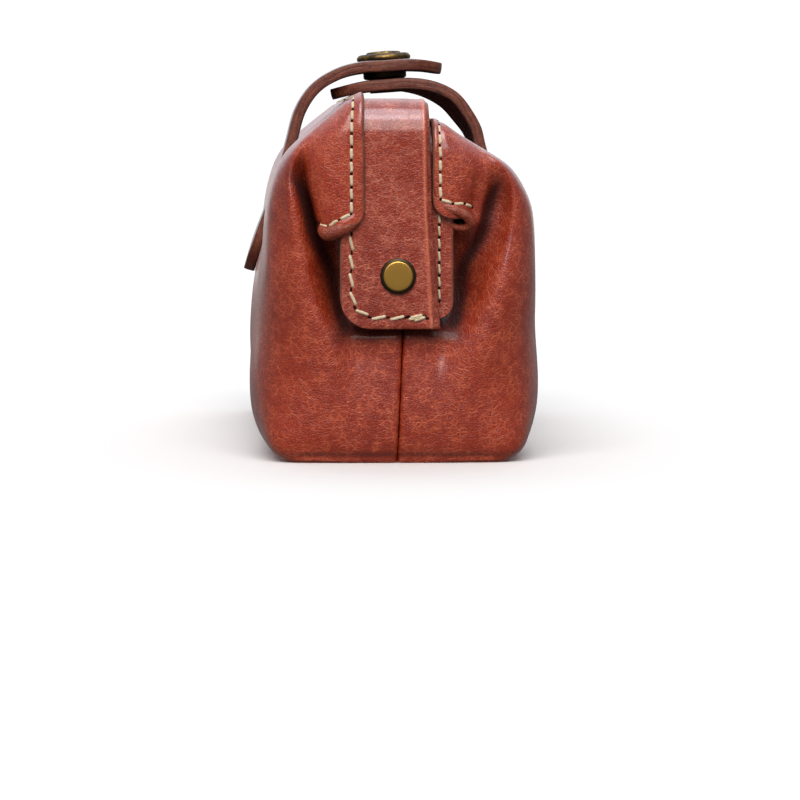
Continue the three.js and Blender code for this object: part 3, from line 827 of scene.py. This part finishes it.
def dress_panel(panel):
    """Outer sheet of a panel as welded points and faces, with the lines that are sewn on it."""
    lower, upper = panel_grids(panel)
    shape_pleat(panel, lower)
    shape_pleat(panel, upper)
    round_roof(panel, upper)
    columns = lower.shape[1]
    slit = slice(VALLEY, columns - VALLEY)
    upper[0, slit] = lower[-1, slit]
    shape_ear(panel, upper)
    upper[0, slit] = lower[-1, slit]
    lower[:, :, 2] += FOOT_ARCH * smooth(lower[:, :, 1], 4, 22) * (1 - smooth(lower[:, :, 2], 0, 12))
    upright = GUSSET_PUSH * bump(lower[:, :, 2] - 32.5, 3.0) * (1 - smooth(lower[:, :, 1], 13, 18))
    lower[:, :, 0] += np.sign(lower[:, :, 0]) * upright
    bottom = bottom_grid(lower[0])
    # The cross seam draws the end's foot in, and the centre seams roll in
    end = np.zeros(columns)
    end[: CORNER + 1] = np.clip(np.linspace(5, 0, CORNER + 1), 0, 1)
    end = end + end[::-1]
    groove = CROSS_SEAM_DEPTH * end * bump(lower[:, :, 2] - CROSS_SEAM_Z, 0.7)
    lower -= grid_normals(lower) * groove[:, :, None]
    lower[:, :, 0] -= np.sign(lower[:, :, 0]) * roll(lower[:, :, 1] - SEAM_HALF_GAP, SEAM_ROLL)
    bottom[:, :, 2] += roll(bottom[:, :, 1] - SEAM_HALF_GAP, SEAM_ROLL)
    bottom[: CORNER + 1, 0] = lower[0, : CORNER + 1]
    bottom[: CORNER + 1, -1] = lower[0, columns - CORNER - 1 :][::-1]
    bottom[CORNER] = lower[0, CORNER : columns - CORNER]
    points, faces = welded([lower, upper, bottom])
    return points, faces, {"ear": ear_line(panel, upper)}


def soft_waves(points):
    """Slow rise and fall of slack leather, in millimetres."""
    x, y, z = points.T
    return (
        0.34 * np.sin(x / 13.0 + 0.8 * np.sin(z / 17.0)) * np.cos(z / 21.0 + 0.4)
        + 0.22 * np.sin(x / 7.3 + z / 9.1 + 1.7) * np.cos(y / 8.0)
        + 0.16 * np.sin(y / 4.3 + z / 6.1) * np.sin(z / 11.0 + x / 31.0)
    )


def painted_fold_shade(points, panel):
    """Painted shade from 0 to 1: how deep a point lies in the pleat beside the tab or in the hollow under
    it.
    """
    x, y, z = np.abs(points.T)
    rows = panel["lower"] + panel["upper"][1:]
    valley = np.interp(z, [row["z"] for row in rows], [row["valley_y"] for row in rows])
    shaded_crease = valley + 2.3 * smooth(z, 48, 60)
    depth = smooth(panel["strip"]["face"] - x, 1, 4) * smooth(x, 84, 90)
    apart = np.abs(y - shaded_crease)
    near = 0.65 * (1 - smooth(apart, 0.6, 3.2)) + 0.35 * (1 - smooth(apart, 1.5, panel["shade"]))
    span = smooth(z, 29, 35) * (1 - smooth(z, 70, 80))
    under_tab = smooth(z, 29.5, 33) * (1 - smooth(z, 42, 50)) * (1 - smooth(y, 14, 19))
    hollow = HOLLOW_SHADE * under_tab * smooth(x, 84, 90)
    return np.maximum(depth * near * span, hollow)


def lean_seam(points):
    """The centre seams at the ends lean a little towards the front as they rise."""
    near_seam = np.clip(1 - np.abs(points[:, 1]) / 12, 0, 1) ** 2
    lean = SEAM_LEAN * np.clip(points[:, 2] / SEAM_LEAN_TOP, 0, 1) * smooth(np.abs(points[:, 0]), 85, 95)
    points[:, 1] -= lean * near_seam * (points[:, 2] < 60)


def panel_piece(name, panel, flip):
    points, faces, lines = dress_panel(panel)
    normals = sheet_normals(points, faces)
    x, y, z = np.abs(points.T)
    calm = np.clip((z - 2) / 10, 0, 1) * np.clip((y - 2) / 8, 0, 1)
    beside = y - panel["upper"][0]["fold_y"]
    strip_zone = smooth(z, 50, 57) * (1 - smooth(beside, 4, 11)) * smooth(x, 84, 94)
    calm = calm * (1 - strip_zone) * np.clip((90 - z) / 12, 0, 1)
    points = points + normals * (soft_waves(points) * calm)[:, None]
    points, faces, kinds = shell(points, faces, WALL, RIM_BULGE)
    cut_y = panel["upper"][-1]["end_y"]
    above = points[:, 2] > panel["upper"][0]["cut_z"] + 1
    points[:, 1] = np.maximum(points[:, 1], np.where(above, cut_y - RIM_BULGE, SEAM_HALF_GAP))
    middle = points[faces].mean(axis=1)
    kinds[(kinds == 0) & (middle[:, 1] < cut_y + CUT_EDGE) & (middle[:, 2] > panel["upper"][0]["cut_z"])] = 1
    points[:, 2] = np.maximum(points[:, 2], 0)
    # Painted shade in the pleats beside the tabs and in the hollow under them, carried by the fold mark
    painted_shade = painted_fold_shade(points, panel)
    if flip:
        points, faces = mirrored(points, faces)
        lines = {key: line * (1, -1, 1) for key, line in lines.items()}
    lean_seam(points)
    marks = {"fold": PLEAT_SHADE * painted_shade}
    piece = make_piece(name, points, faces, [BODY, EDGE, FLESH], "body_leather", kinds, marks)
    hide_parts(name)
    return piece, lines


def tube(path, radius, sides=16):
    """A round bead along a path, with round ends."""
    heading = unit(np.gradient(path, axis=0))
    ends = []
    for at, sign in ((0, -1), (-1, 1)):
        lift = np.sin(np.linspace(0, math.pi / 2, 5)[1:-1])
        beyond = path[at] + sign * heading[at] * radius[at] * lift[:, None]
        ends.append((beyond, radius[at] * np.sqrt(1 - lift**2)))
    path = np.concatenate([ends[0][0][::-1], path, ends[1][0]])
    radius = np.concatenate([ends[0][1][::-1], radius, ends[1][1]])
    heading = unit(np.gradient(path, axis=0))
    side = unit(np.cross(heading, (1.0, 0.0, 0.0)))
    over = np.cross(side, heading)
    angle = np.arange(sides) * 2 * math.pi / sides
    around = np.cos(angle)[None, :, None] * side[:, None] + np.sin(angle)[None, :, None] * over[:, None]
    points = path[:, None] + radius[:, None, None] * around
    index = np.arange(len(path) * sides).reshape(-1, sides)
    faces = wrapped_quads(index)[:, ::-1].tolist()
    return points.reshape(-1, 3), faces + [index[0].tolist(), index[-1][::-1].tolist()]


def ear_lip_piece(name, panel, lip, flip):
    """The rolled lip along the lower edge of both ears of a panel."""
    face = outer_face(panel)
    stations = np.array([[row["depth"] - face, row["y"], row["z"], row["radius"]] for row in lip])
    fine = spline(stations, np.linspace(0, len(lip) - 1, 60))
    points, faces = tube(fine[:, :3], fine[:, 3])
    other = points * (-1, 1, 1), [corners[::-1] for corners in faces]
    points, faces = joined([(points, faces), other])
    if flip:
        points, faces = points * (1, -1, 1), [corners[::-1] for corners in faces]
    # Painted shade: a little of the shade colour over the whole lip, by the fold mark
    marks = {"fold": np.full(len(points), LIP_SHADE)}
    return make_piece(name, points, faces, [LIP_LEATHER], "body_leather", marks=marks)


# Frame strips
def strip_line(strip):
    """Stations along a strip's U: place in X and Z on its outer face."""
    face, top, bend, foot = strip["face"], strip["top"], strip["bend"], strip["foot_z"]
    leg = mixed(foot, top - bend, np.linspace(0, 1, 60) ** 1.5)
    turn = np.linspace(0, math.pi / 2, 16)[1:]
    left = np.concatenate([
        np.stack([np.full(60, -face), leg], axis=1),
        np.stack([bend - face - bend * np.cos(turn), top - bend + bend * np.sin(turn)], axis=1),
    ])
    run = np.linspace(left[-1, 0], -left[-1, 0], 72)[1:-1]
    middle = np.stack([run, np.full(len(run), top)], axis=1)
    return np.concatenate([left, middle, left[::-1] * (-1, 1)])


def strip_piece(name, strip, flip, cushion, shade):
    line = strip_line(strip)
    z = line[:, 1]
    foot, radius, top = strip["foot_z"], strip["foot_radius"], strip["top"]
    shown_y = [strip["shown_foot_y"], strip["shown_mid_y"], strip["shown_top_y"]]

    def down_leg(height, values):
        """Values given at the foot, the middle and the top of a leg, at other heights."""
        return np.interp(height, [foot, strip["shown_mid_z"], top], values)

    shown = down_leg(z, shown_y)
    short = np.clip(radius - (z - foot), 0, radius)
    hidden = strip["hidden_y"] - radius + np.sqrt(radius**2 - short**2)
    skived = np.interp(z, [strip["skive_z"], top], [strip["hidden_y"], strip["skive_y"] + 0.5])
    hidden = np.minimum(hidden, skived)
    f = 0.5 - 0.5 * np.cos(np.linspace(0, math.pi, 41))
    y = mixed(shown[:, None], hidden[:, None], f[None, :])
    grid = np.stack([np.repeat(line[:, :1], 41, 1), y, np.repeat(line[:, 1:], 41, 1)], axis=2)
    points, faces = welded([grid])
    normals = sheet_normals(points, faces)
    from_shown = points[:, 1] - down_leg(points[:, 2], shown_y)
    from_hidden = strip["hidden_y"] - points[:, 1]
    from_foot = points[:, 2] - foot
    from_crease = from_shown - down_leg(points[:, 2], CREASE_IN)
    sunk = CREASE_STEP * (1 - smooth(from_crease, -0.7, 0.1)) - CREASE_RIDGE * bump(from_crease - 0.3, 0.5)
    sunk = sunk + 0.22 * bump(np.minimum(from_hidden, from_foot) - 2.9, 0.8)
    edge = np.minimum(np.minimum(from_shown, from_hidden), from_foot)
    sunk = sunk + 0.5 * roll(edge, TURNED_EDGE)
    puff = cushion * np.clip(edge / 6, 0, 1)
    points = points + normals * (puff - sunk)[:, None]
    # Painted highlight: a pale line along the ridge beside the crease
    wear_and_painted_highlight = bump(from_crease - 0.3, 0.36)
    # Painted shade: the border outside the crease, and on the under strip the part high up that shows beside
    # the over strip
    shaded = BORDER_SHADE * (1 - smooth(from_crease, -0.6, -0.1)) + shade * smooth(points[:, 2], 66, 76)
    outer_count = len(points)
    points, faces, kinds = shell(points, faces, strip["thickness"], 0.35)
    unmarked = np.zeros(len(points) - outer_count)
    marks = {"wear_and_painted_highlight": np.concatenate([wear_and_painted_highlight, unmarked]), "fold": np.concatenate([shaded, unmarked])}
    middle = points[faces].mean(axis=1)
    kinds[(kinds == 0) & (middle[:, 1] > strip["hidden_y"] - CUT_EDGE)] = 1
    if flip:
        points, faces = mirrored(points, faces)
    piece = make_piece(name, points, faces, [STRIP, EDGE, FLESH], "strip_leather", kinds, marks)
    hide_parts(name)
    return piece


# Straps
def side_middle(panel, z):
    rows = panel["lower"] + panel["upper"][1:]
    return np.interp(z, [row["z"] for row in rows], [row["mid_y"] for row in rows])


def strap_line(panel, run):
    """Fine points of a strap's centre line in Y and Z, with the distance along it."""
    foot_z = np.linspace(STRAP_FOOT["low_z"], STRAP_FOOT["high_z"], STRAP_FOOT["points"])
    seat = 2 * CLEARANCE + STRAP_THICKNESS / 2
    foot = [(side_middle(panel, z) + seat, z) for z in foot_z]
    points = np.array([*foot, *run], float)
    fine = spline(points, np.linspace(0, len(points) - 1, 600))
    return fine, run_length(fine)


def strap_piece(name, panel, run, flip, twist):
    fine, along = strap_line(panel, run)
    length = along[-1]
    tip = STRAP_TIP_RADIUS * (1 - np.cos(np.linspace(0, math.pi / 2, 14)))
    body = np.linspace(STRAP_TIP_RADIUS, length - STRAP_TIP_RADIUS, 90)[1:-1]
    s = np.concatenate([tip, body, (length - tip)[::-1]])
    centre = np.stack([np.interp(s, along, fine[:, k]) for k in range(2)], axis=1)
    heading = np.gradient(centre, s, axis=0)
    heading /= np.linalg.norm(heading, axis=1, keepdims=True)
    out = np.stack([heading[:, 1], -heading[:, 0]], axis=1)
    short = np.clip(STRAP_TIP_RADIUS - np.minimum(s, length - s), 0, STRAP_TIP_RADIUS)
    half = STRAP_WIDTH / 2 - STRAP_TIP_RADIUS + np.sqrt(STRAP_TIP_RADIUS**2 - short**2)
    f = np.sin(np.linspace(-math.pi / 2, math.pi / 2, 31))
    surface = centre + out * STRAP_THICKNESS / 2
    across = half[:, None] * f[None, :]
    turn = math.radians(twist) * np.sin(math.pi * smooth(s, *STRAP_TWIST_SPAN))
    lift = -across * np.tan(turn)[:, None]
    grid = np.stack([
        across,
        surface[:, :1] + out[:, :1] * lift,
        surface[:, 1:] + out[:, 1:] * lift,
    ], axis=2)
    points, faces = welded([grid])
    normals = sheet_normals(points, faces)
    edge = STRAP_WIDTH / 2 - np.abs(points[:, 0])
    points = points - normals * (0.25 * np.exp(-((edge / 1.2) ** 2)))[:, None]
    outer_count = len(points)
    points, faces, kinds = shell(points, faces, STRAP_THICKNESS, 0.2)
    apart = np.linalg.norm(points[:, None, 1:] - fine[None], axis=2)
    marks = {"depth": wall_depth(outer_count, len(points)), "along": along[np.argmin(apart, axis=1)]}
    if flip:
        points, faces = mirrored(points, faces)
    piece = make_piece(name, points, faces, [STRAP, STRAP_EDGE, FLESH], "strap_leather", kinds, marks)
    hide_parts(name)
    return piece


# Metal
def rounded(profile, radius):
    """A profile with its inner corners turned into small arcs."""
    profile = np.array(profile, float)
    points = [profile[0]]
    for before, here, after in zip(profile[:-2], profile[1:-1], profile[2:]):
        reach_in = min(radius, np.linalg.norm(here - before) / 2.2)
        reach_out = min(radius, np.linalg.norm(after - here) / 2.2)
        start = here + (before - here) / np.linalg.norm(before - here) * reach_in
        end = here + (after - here) / np.linalg.norm(after - here) * reach_out
        for f in np.linspace(0, 1, 5):
            points.append((1 - f) ** 2 * start + 2 * f * (1 - f) * here + f**2 * end)
    points.append(profile[-1])
    return np.array(points)


def turned(profile, sides=64):
    """A turned solid about Z from radius and height, its ends on the axis."""
    radius, height = profile.T
    angle = np.arange(sides) * 2 * math.pi / sides
    rings = np.stack([
        radius[1:-1, None] * np.cos(angle),
        radius[1:-1, None] * np.sin(angle),
        np.repeat(height[1:-1, None], sides, 1),
    ], axis=2)
    points = np.concatenate([rings.reshape(-1, 3), [(0, 0, height[0]), (0, 0, height[-1])]])
    index = np.arange((len(profile) - 2) * sides).reshape(-1, sides)
    after = np.roll(index, -1, axis=1)
    faces = wrapped_quads(index).tolist()
    low, high = len(points) - 2, len(points) - 1
    faces += [[low, b, a] for a, b in zip(index[0], after[0])]
    faces += [[high, a, b] for a, b in zip(index[-1], after[-1])]
    return points, faces


def rivet_piece(name, side):
    tail_face = FRONT_STRIP["face"] - FRONT_STRIP["thickness"] - CLEARANCE
    seat = BACK_STRIP["face"] + CLEARANCE
    outer = seat + RIVET["cap_height"]
    groove = 0.16
    profile = rounded([
        (0, tail_face - RIVET["tail_height"]),
        (RIVET["tail"], tail_face - RIVET["tail_height"]),
        (RIVET["tail"], tail_face),
        (RIVET["post"], tail_face),
        (RIVET["post"], seat),
        (RIVET["cap"], seat),
        (RIVET["cap"], mixed(seat, outer, 0.55)),
        (RIVET["face"] + 0.25, outer - groove),
        (RIVET["face"], outer - groove),
        (RIVET["face"] - 0.2, outer - 0.02),
        (RIVET["face"] / 2, outer),
        (0, outer),
    ], 0.28)
    points, faces = turned(profile)
    flat = np.hypot(points[:, 0], points[:, 1])
    worn = 0.75 * ((flat < RIVET["face"] - 0.05) & (points[:, 2] > outer - 0.3))
    placed = np.stack([side * points[:, 2], side * points[:, 1], points[:, 0] + RIVET["z"]], axis=1)
    faces = [face[::-1] for face in faces]
    piece = make_piece(name, placed, faces, [BRASS], "antique_brass", marks={"worn": worn})
    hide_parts(name)
    return piece


def on_snap_axis(points):
    """Points about the snap's own axis, leaned and lifted to its place."""
    x, y, z = points.T
    c, s = math.cos(SNAP_TILT), math.sin(SNAP_TILT)
    return np.stack([x, c * y - s * z, s * y + c * z + SNAP["z"]], axis=1)


def snap_cap_piece():
    """The cap pressed into the strap's leather, and the socket that reaches down to the lower strap."""
    seat = STRAP_THICKNESS / 2
    mouth = -seat - SNAP["socket_height"] - 2 * CLEARANCE
    top = seat + SNAP["cap_height"] - CLEARANCE
    cap, socket = SNAP["cap"], SNAP["socket"]
    profile = rounded([
        (0, -seat - SNAP["cavity_roof"]),
        (SNAP["cavity"], -seat - SNAP["cavity_roof"]),
        (SNAP["cavity"], mouth),
        (socket - 0.6, mouth),
        (socket, mouth + 0.4),
        (socket, -seat),
        (SNAP["post"], -seat),
        (SNAP["post"], seat),
        (cap - 0.5, seat),
        (cap, seat + 0.4),
        (cap, mixed(seat, top, 0.40)),
        (cap - 0.6, mixed(seat, top, 0.66)),
        (cap - 1.5, mixed(seat, top, 0.74)),
        (cap - 1.8, mixed(seat, top, 0.62)),
        (cap - 2.4, mixed(seat, top, 0.64)),
        (cap - 3.0, mixed(seat, top, 0.92)),
        (cap / 4, top),
        (0, top),
    ], 0.35)
    points, faces = turned(profile)
    radius = np.hypot(points[:, 0], points[:, 1])
    worn = 0.26 * (points[:, 2] > seat) * np.clip(points[:, 2] / top, 0, 1) + 0.1 * (radius > cap - 0.4)
    marks = {"worn": worn}
    piece = make_piece("snap_cap", on_snap_axis(points), faces, [BRASS], "antique_brass", marks=marks)
    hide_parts("snap_cap")
    return piece


def snap_stud_piece():
    seat = -SNAP["strap_drop"] + STRAP_THICKNESS / 2 + CLEARANCE
    below = -SNAP["strap_drop"] - STRAP_THICKNESS / 2 - CLEARANCE
    knob_top = -STRAP_THICKNESS / 2 - 2 * CLEARANCE - SNAP["cavity_roof"]
    profile = rounded([
        (0, below - SNAP["washer_height"]),
        (SNAP["washer"], below - SNAP["washer_height"]),
        (SNAP["washer"], below),
        (SNAP["stud_post"], below),
        (SNAP["stud_post"], seat),
        (SNAP["knob"], seat),
        (SNAP["knob"], knob_top - 0.4),
        (SNAP["knob"] - 0.5, knob_top),
        (0, knob_top),
    ], 0.3)
    points, faces = turned(profile, 48)
    worn = 0.2 * (points[:, 2] > seat)
    marks = {"worn": worn}
    piece = make_piece("snap_stud", on_snap_axis(points), faces, [BRASS], "antique_brass", marks=marks)
    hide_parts("snap_stud")
    return piece


# Thread
def surface_of(piece):
    mesh = piece.data
    return BVHTree.FromPolygons([v.co for v in mesh.vertices], [p.vertices for p in mesh.polygons])


def laid_on(surface, points):
    """The nearest places on a surface, with its normals there."""
    hits = [surface.find_nearest(Vector(point * MM)) for point in points]
    return np.array([np.array(hit[0]) / MM for hit in hits]), np.array([np.array(hit[1]) for hit in hits])


def spaced(points, gap):
    """Points at even distances along a line of points."""
    points = np.asarray(points, float)
    along = run_length(points)
    count = max(int(round(along[-1] / gap)), 1)
    s = np.linspace(0, along[-1], count + 1)
    return np.stack([np.interp(s, along, points[:, k]) for k in range(3)], axis=1)


def thread_mesh(holes, normals, radius, slant, span=0.84):
    """Stitches between neighbouring needle holes: arched, slightly slanted twists of thread."""
    start, end = holes[:-1], holes[1:]
    up = unit(normals[:-1] + normals[1:])
    along = end - start
    length = np.linalg.norm(along, axis=1, keepdims=True)
    along = along / length
    side = unit(np.cross(up, along))
    along = unit(along + side * slant)
    side = unit(np.cross(up, along))
    u = np.sin(np.linspace(-math.pi / 2, math.pi / 2, 11))
    angle = np.arange(10) * 2 * math.pi / 10
    centre = (start + end)[:, None] / 2 + along[:, None] * (u[None, :, None] * length[:, None] * span / 2)
    lift = radius * (0.30 - u**6)
    sink = TOP_SINK * smooth(up[:, 2], 0.5, 0.8)
    centre = centre + up[:, None] * (lift[None, :] - sink[:, None])[:, :, None]
    thick = radius * np.sqrt(np.clip(1 - u**8, 0, 1))
    ply = 1 + 0.10 * np.cos(2 * angle[None, :] - 7 * u[:, None])
    ring = (thick[:, None] * ply)[None, :, :, None]
    around = np.cos(angle)[None, :, None] * side[:, None] + np.sin(angle)[None, :, None] * up[:, None]
    points = centre[:, :, None] + ring * around[:, None]
    count, rings, sides = points.shape[:3]
    index = np.arange(count * rings * sides).reshape(count, rings, sides)
    return points.reshape(-1, 3), wrapped_quads(index)


def hole_mesh(holes, normals, radius):
    """Small dimples at the needle holes, dark with painted shade."""
    up = unit(normals)
    side = unit(np.cross(up, np.gradient(holes, axis=0)))
    along = np.cross(side, up)
    angle = np.arange(10) * 2 * math.pi / 10
    rings = [(0.35, 0.10), (0.75, 0.09), (1.0, 0.02), (1.0, -0.25)]
    flat = 0.8 * np.cos(angle)[None, :, None] * side[:, None]
    flat = flat + 1.2 * np.sin(angle)[None, :, None] * along[:, None]
    layers = []
    for share, height in rings:
        layers.append(holes[:, None] + radius * share * flat + radius * height * up[:, None])
    points = np.stack(layers, axis=1)
    count, rows, sides = points.shape[:3]
    index = np.arange(count * rows * sides).reshape(count, rows, sides)
    faces = wrapped_quads(index)[:, ::-1].tolist()
    faces += index[:, 0].tolist()
    return points.reshape(-1, 3), faces


def joined(meshes):
    points, faces, first = [], [], 0
    for mesh_points, mesh_faces in meshes:
        points.append(mesh_points)
        faces += [[first + i for i in face] for face in mesh_faces]
        first += len(mesh_points)
    return np.concatenate(points), faces


def sew(name, lines, slot, stitch):
    """Stitches and their needle holes along lines of holes with normals."""
    stitches = joined([thread_mesh(*line, stitch["radius"], stitch["slant"]) for line in lines])
    make_piece(name, *stitches, [THREAD], slot)
    dimples = joined([hole_mesh(*line, stitch["hole"]) for line in lines])
    make_piece(name + "_holes", *dimples, [HOLE_SHADE], slot)


def casing_routes(panel, sign, ear):
    """The casing's stitch lines: along one ear, over the mouth to the other end, and along that ear."""
    top = panel["upper"][-1]
    radius = top["z"] - top["cut_z"]
    face = outer_face(panel)
    y = sign * (top["end_y"] + panel["hem_stitch"])
    leg = np.array([(-face, y, z) for z in np.linspace(ear[-1, 2] + 0.3, top["cut_z"], 8)])
    bend = np.array([
        (radius - face - radius * math.cos(a), y, top["cut_z"] + radius * math.sin(a))
        for a in np.linspace(0, math.pi / 2, 10)[1:]
    ])
    left = np.concatenate([leg, bend])
    tip = np.concatenate([ear, leg[:1]])
    return [tip, np.concatenate([left, left[::-1] * (-1, 1, 1)]), tip * (-1, 1, 1)]


def sewn_line(surface, line, pitch):
    """Needle holes at a pitch along a route on a surface."""
    places, _ = laid_on(surface, spaced(line, 0.5))
    return laid_on(surface, spaced(places, pitch))


def sew_panel(name, piece, panel, lines, sign):
    """The casing's cream stitches."""
    surface = surface_of(piece)
    routes = casing_routes(panel, sign, lines["ear"])
    casing = [sewn_line(surface, route, CASING_STITCH["pitch"]) for route in routes]
    sew("casing_stitches_" + name, casing, "body_leather", CASING_STITCH)


def sew_tabs(back_strip, front_strip):
    """Stitches round the foot of each over tab, with a back tack, and down the edge of each under tab."""
    over, under = surface_of(back_strip), surface_of(front_strip)
    foot, radius = BACK_STRIP["foot_z"], BACK_STRIP["foot_radius"]
    gap = TAB_MARGIN
    side_y = BACK_STRIP["hidden_y"] - gap
    arc = [
        (side_y - (radius - gap) * (1 - math.cos(a)), foot + radius - (radius - gap) * math.sin(a))
        for a in np.linspace(0, math.pi / 2, 6)
    ]
    path = [(side_y, 58.5), *arc, (-6.8, foot + gap)]
    tack = [(-2.6, foot + gap + 0.35), (-6.6, foot + gap + 0.45)]
    end_tack = [(-3.6, foot + gap - 0.4), (-7.4, foot + gap - 0.1)]
    lines_over, lines_under = [], []
    under_y = -(FRONT_STRIP["hidden_y"] - UNDER_TAB_MARGIN)
    for side in (-1, 1):
        for route, pitch in ((path, OVER_STITCH["pitch"]), (tack, 4.0), (end_tack, 3.8)):
            line = np.array([(side * BACK_STRIP["face"], y, z) for y, z in route])
            lines_over.append(sewn_line(over, line, pitch))
        line = np.array([(side * FRONT_STRIP["face"], under_y, z) for z in (64.0, 41.5)])
        lines_under.append(sewn_line(under, line, UNDER_STITCH["pitch"]))
    sew("tab_stitches_over", lines_over, "strip_leather", OVER_STITCH)
    sew("tab_stitches_under", lines_under, "strip_leather", UNDER_STITCH)


# Stage
PHOTO_SIDE = 800
FOCAL_PIXELS = 3968
CAMERA_PLACE = Vector((-1.110, 0.036, 0.085))
HORIZON_ROW = 129
STRAIGHT_AHEAD_COLUMN = 255.5
SENSOR = 36.0
SWEEP = 1.05
LOW_BACK = 1.0
LOW_SIDE = 0.20
HIGH_BACK = 0.7
ROOM = 0.22
CEILING = 0.45
SKY = (0.82, 0.91, 1.0)
FILL = 0.20


def add_camera():
    camera = bpy.data.cameras.new("camera")
    camera.sensor_width = SENSOR
    camera.lens = FOCAL_PIXELS / PHOTO_SIDE * SENSOR
    camera.clip_start, camera.clip_end = 0.01, 30
    camera_object = bpy.data.objects.new("camera", camera)
    pitch = math.atan((PHOTO_SIDE / 2 - HORIZON_ROW) / FOCAL_PIXELS)
    yaw = math.atan((PHOTO_SIDE / 2 - STRAIGHT_AHEAD_COLUMN) / FOCAL_PIXELS)
    aim = Vector((math.cos(pitch) * math.cos(yaw), -math.cos(pitch) * math.sin(yaw), -math.sin(pitch)))
    camera_object.location = CAMERA_PLACE
    camera_object.rotation_euler = aim.to_track_quat("-Z", "Y").to_euler()
    bpy.context.scene.collection.objects.link(camera_object)
    bpy.context.scene.camera = camera_object


def add_softbox(name, azimuth, elevation, strength, width, colour, fills=True):
    """A far round softbox: its bearing from -X towards +Y, its height and its width in degrees.

    One that doesn't fill is only mirrored in the gloss.
    """
    light = bpy.data.lights.new(name, "SUN")
    light.energy = strength
    light.angle = math.radians(width)
    light.color = colour
    lamp = bpy.data.objects.new(name, light)
    bearing, height = math.radians(azimuth), math.radians(elevation)
    level = math.cos(height)
    towards = Vector((-level * math.cos(bearing), level * math.sin(bearing), math.sin(height)))
    lamp.location = towards
    lamp.visible_diffuse = fills
    lamp.rotation_euler = towards.to_track_quat("Z", "Y").to_euler()
    bpy.context.scene.collection.objects.link(lamp)


def add_floor():
    reach = 40.0
    mesh = bpy.data.meshes.new("floor")
    corners = [(-reach, -reach, 0), (reach, -reach, 0), (reach, reach, 0), (-reach, reach, 0)]
    mesh.from_pydata(corners, [], [(0, 1, 2, 3)])
    mesh.materials.append(plain_floor("pale floor"))
    floor = bpy.data.objects.new("floor", mesh)
    floor.visible_diffuse = False
    floor.visible_glossy = False
    bpy.context.scene.collection.objects.link(floor)


def add_room():
    """A white sweep low down and high up behind the clutch, a dim room before it and a pale ceiling."""
    world = bpy.data.worlds.new("white room")
    world.use_nodes = True
    nodes, links = world.node_tree.nodes, world.node_tree.links
    direction = nodes.new("ShaderNodeTexCoord")
    parts = nodes.new("ShaderNodeSeparateXYZ")
    links.new(direction.outputs["Generated"], parts.inputs[0])
    background = nodes["Background"]
    tint = nodes.new("ShaderNodeMix")
    tint.data_type = "RGBA"
    tint.inputs[6].default_value = (1, 1, 1, 1)
    tint.inputs[7].default_value = (*SKY, 1)
    links.new(tint.outputs[2], background.inputs["Color"])

    def ramp(axis, low, high, before, after):
        """A brightness that goes from before to after between two heights or bearings."""
        step = nodes.new("ShaderNodeMapRange")
        step.interpolation_type = "SMOOTHSTEP"
        links.new(parts.outputs[axis], step.inputs["Value"])
        for socket, value in (("From Min", low), ("From Max", high)):
            step.inputs[socket].default_value = value
        for socket, value in (("To Min", before), ("To Max", after)):
            if isinstance(value, (int, float)):
                step.inputs[socket].default_value = value
            else:
                links.new(value.outputs[0], step.inputs[socket])
        return step

    before = ramp("Z", 0.35, 0.80, ROOM, CEILING)
    before = ramp("Z", -0.03, 0.02, FILL, before)
    straight = ramp("Z", 0.18, 0.42, LOW_BACK, HIGH_BACK)
    straight = ramp("Z", 0.04, 0.07, SWEEP, straight)
    beside = ramp("Z", 0.18, 0.42, LOW_SIDE, HIGH_BACK)
    behind = ramp("Y", -0.55, -0.25, beside, straight)
    behind = ramp("Y", 0.25, 0.55, behind, beside)
    behind = ramp("Z", 0.80, 0.95, behind, CEILING)
    behind = ramp("Z", -0.03, -0.01, FILL, behind)
    links.new(ramp("X", -0.20, 0.40, before, behind).outputs[0], background.inputs["Strength"])
    links.new(ramp("Z", 0.04, 0.07, 0.0, 1.0).outputs[0], tint.inputs[0])
    bpy.context.scene.world = world
    bpy.context.scene.view_settings.view_transform = "Standard"


back_panel, back_lines = panel_piece("back_panel", BACK_PANEL, False)
front_panel, front_lines = panel_piece("front_panel", FRONT_PANEL, True)
# The last number of each strip is its painted shade high on the legs
back_strip = strip_piece("frame_strip_back", BACK_STRIP, False, 0.35, 0.0)
front_strip = strip_piece("frame_strip_front", FRONT_STRIP, True, 0.0, 0.7)
strap_piece("snap_strap_back", BACK_PANEL, BACK_STRAP_RUN, False, 0)
strap_piece("snap_strap_front", FRONT_PANEL, FRONT_STRAP_RUN, True, 5)
rivet_piece("hinge_rivet_left", -1)
rivet_piece("hinge_rivet_right", 1)
snap_cap_piece()
snap_stud_piece()
ear_lip_piece("ear_lips_back", BACK_PANEL, BACK_LIP, False)
ear_lip_piece("ear_lips_front", FRONT_PANEL, FRONT_LIP, True)
sew_panel("back", back_panel, BACK_PANEL, back_lines, 1)
sew_panel("front", front_panel, FRONT_PANEL, front_lines, -1)
sew_tabs(back_strip, front_strip)

add_camera()
add_floor()
add_room()
add_softbox("key softbox", 6, 44, 2.5, 50, (1.0, 0.97, 0.96))
add_softbox("overhead softbox", 0, 74, 2.8, 40, SKY, False)
add_softbox("back softbox", 180, 50, 0.7, 55, SKY)
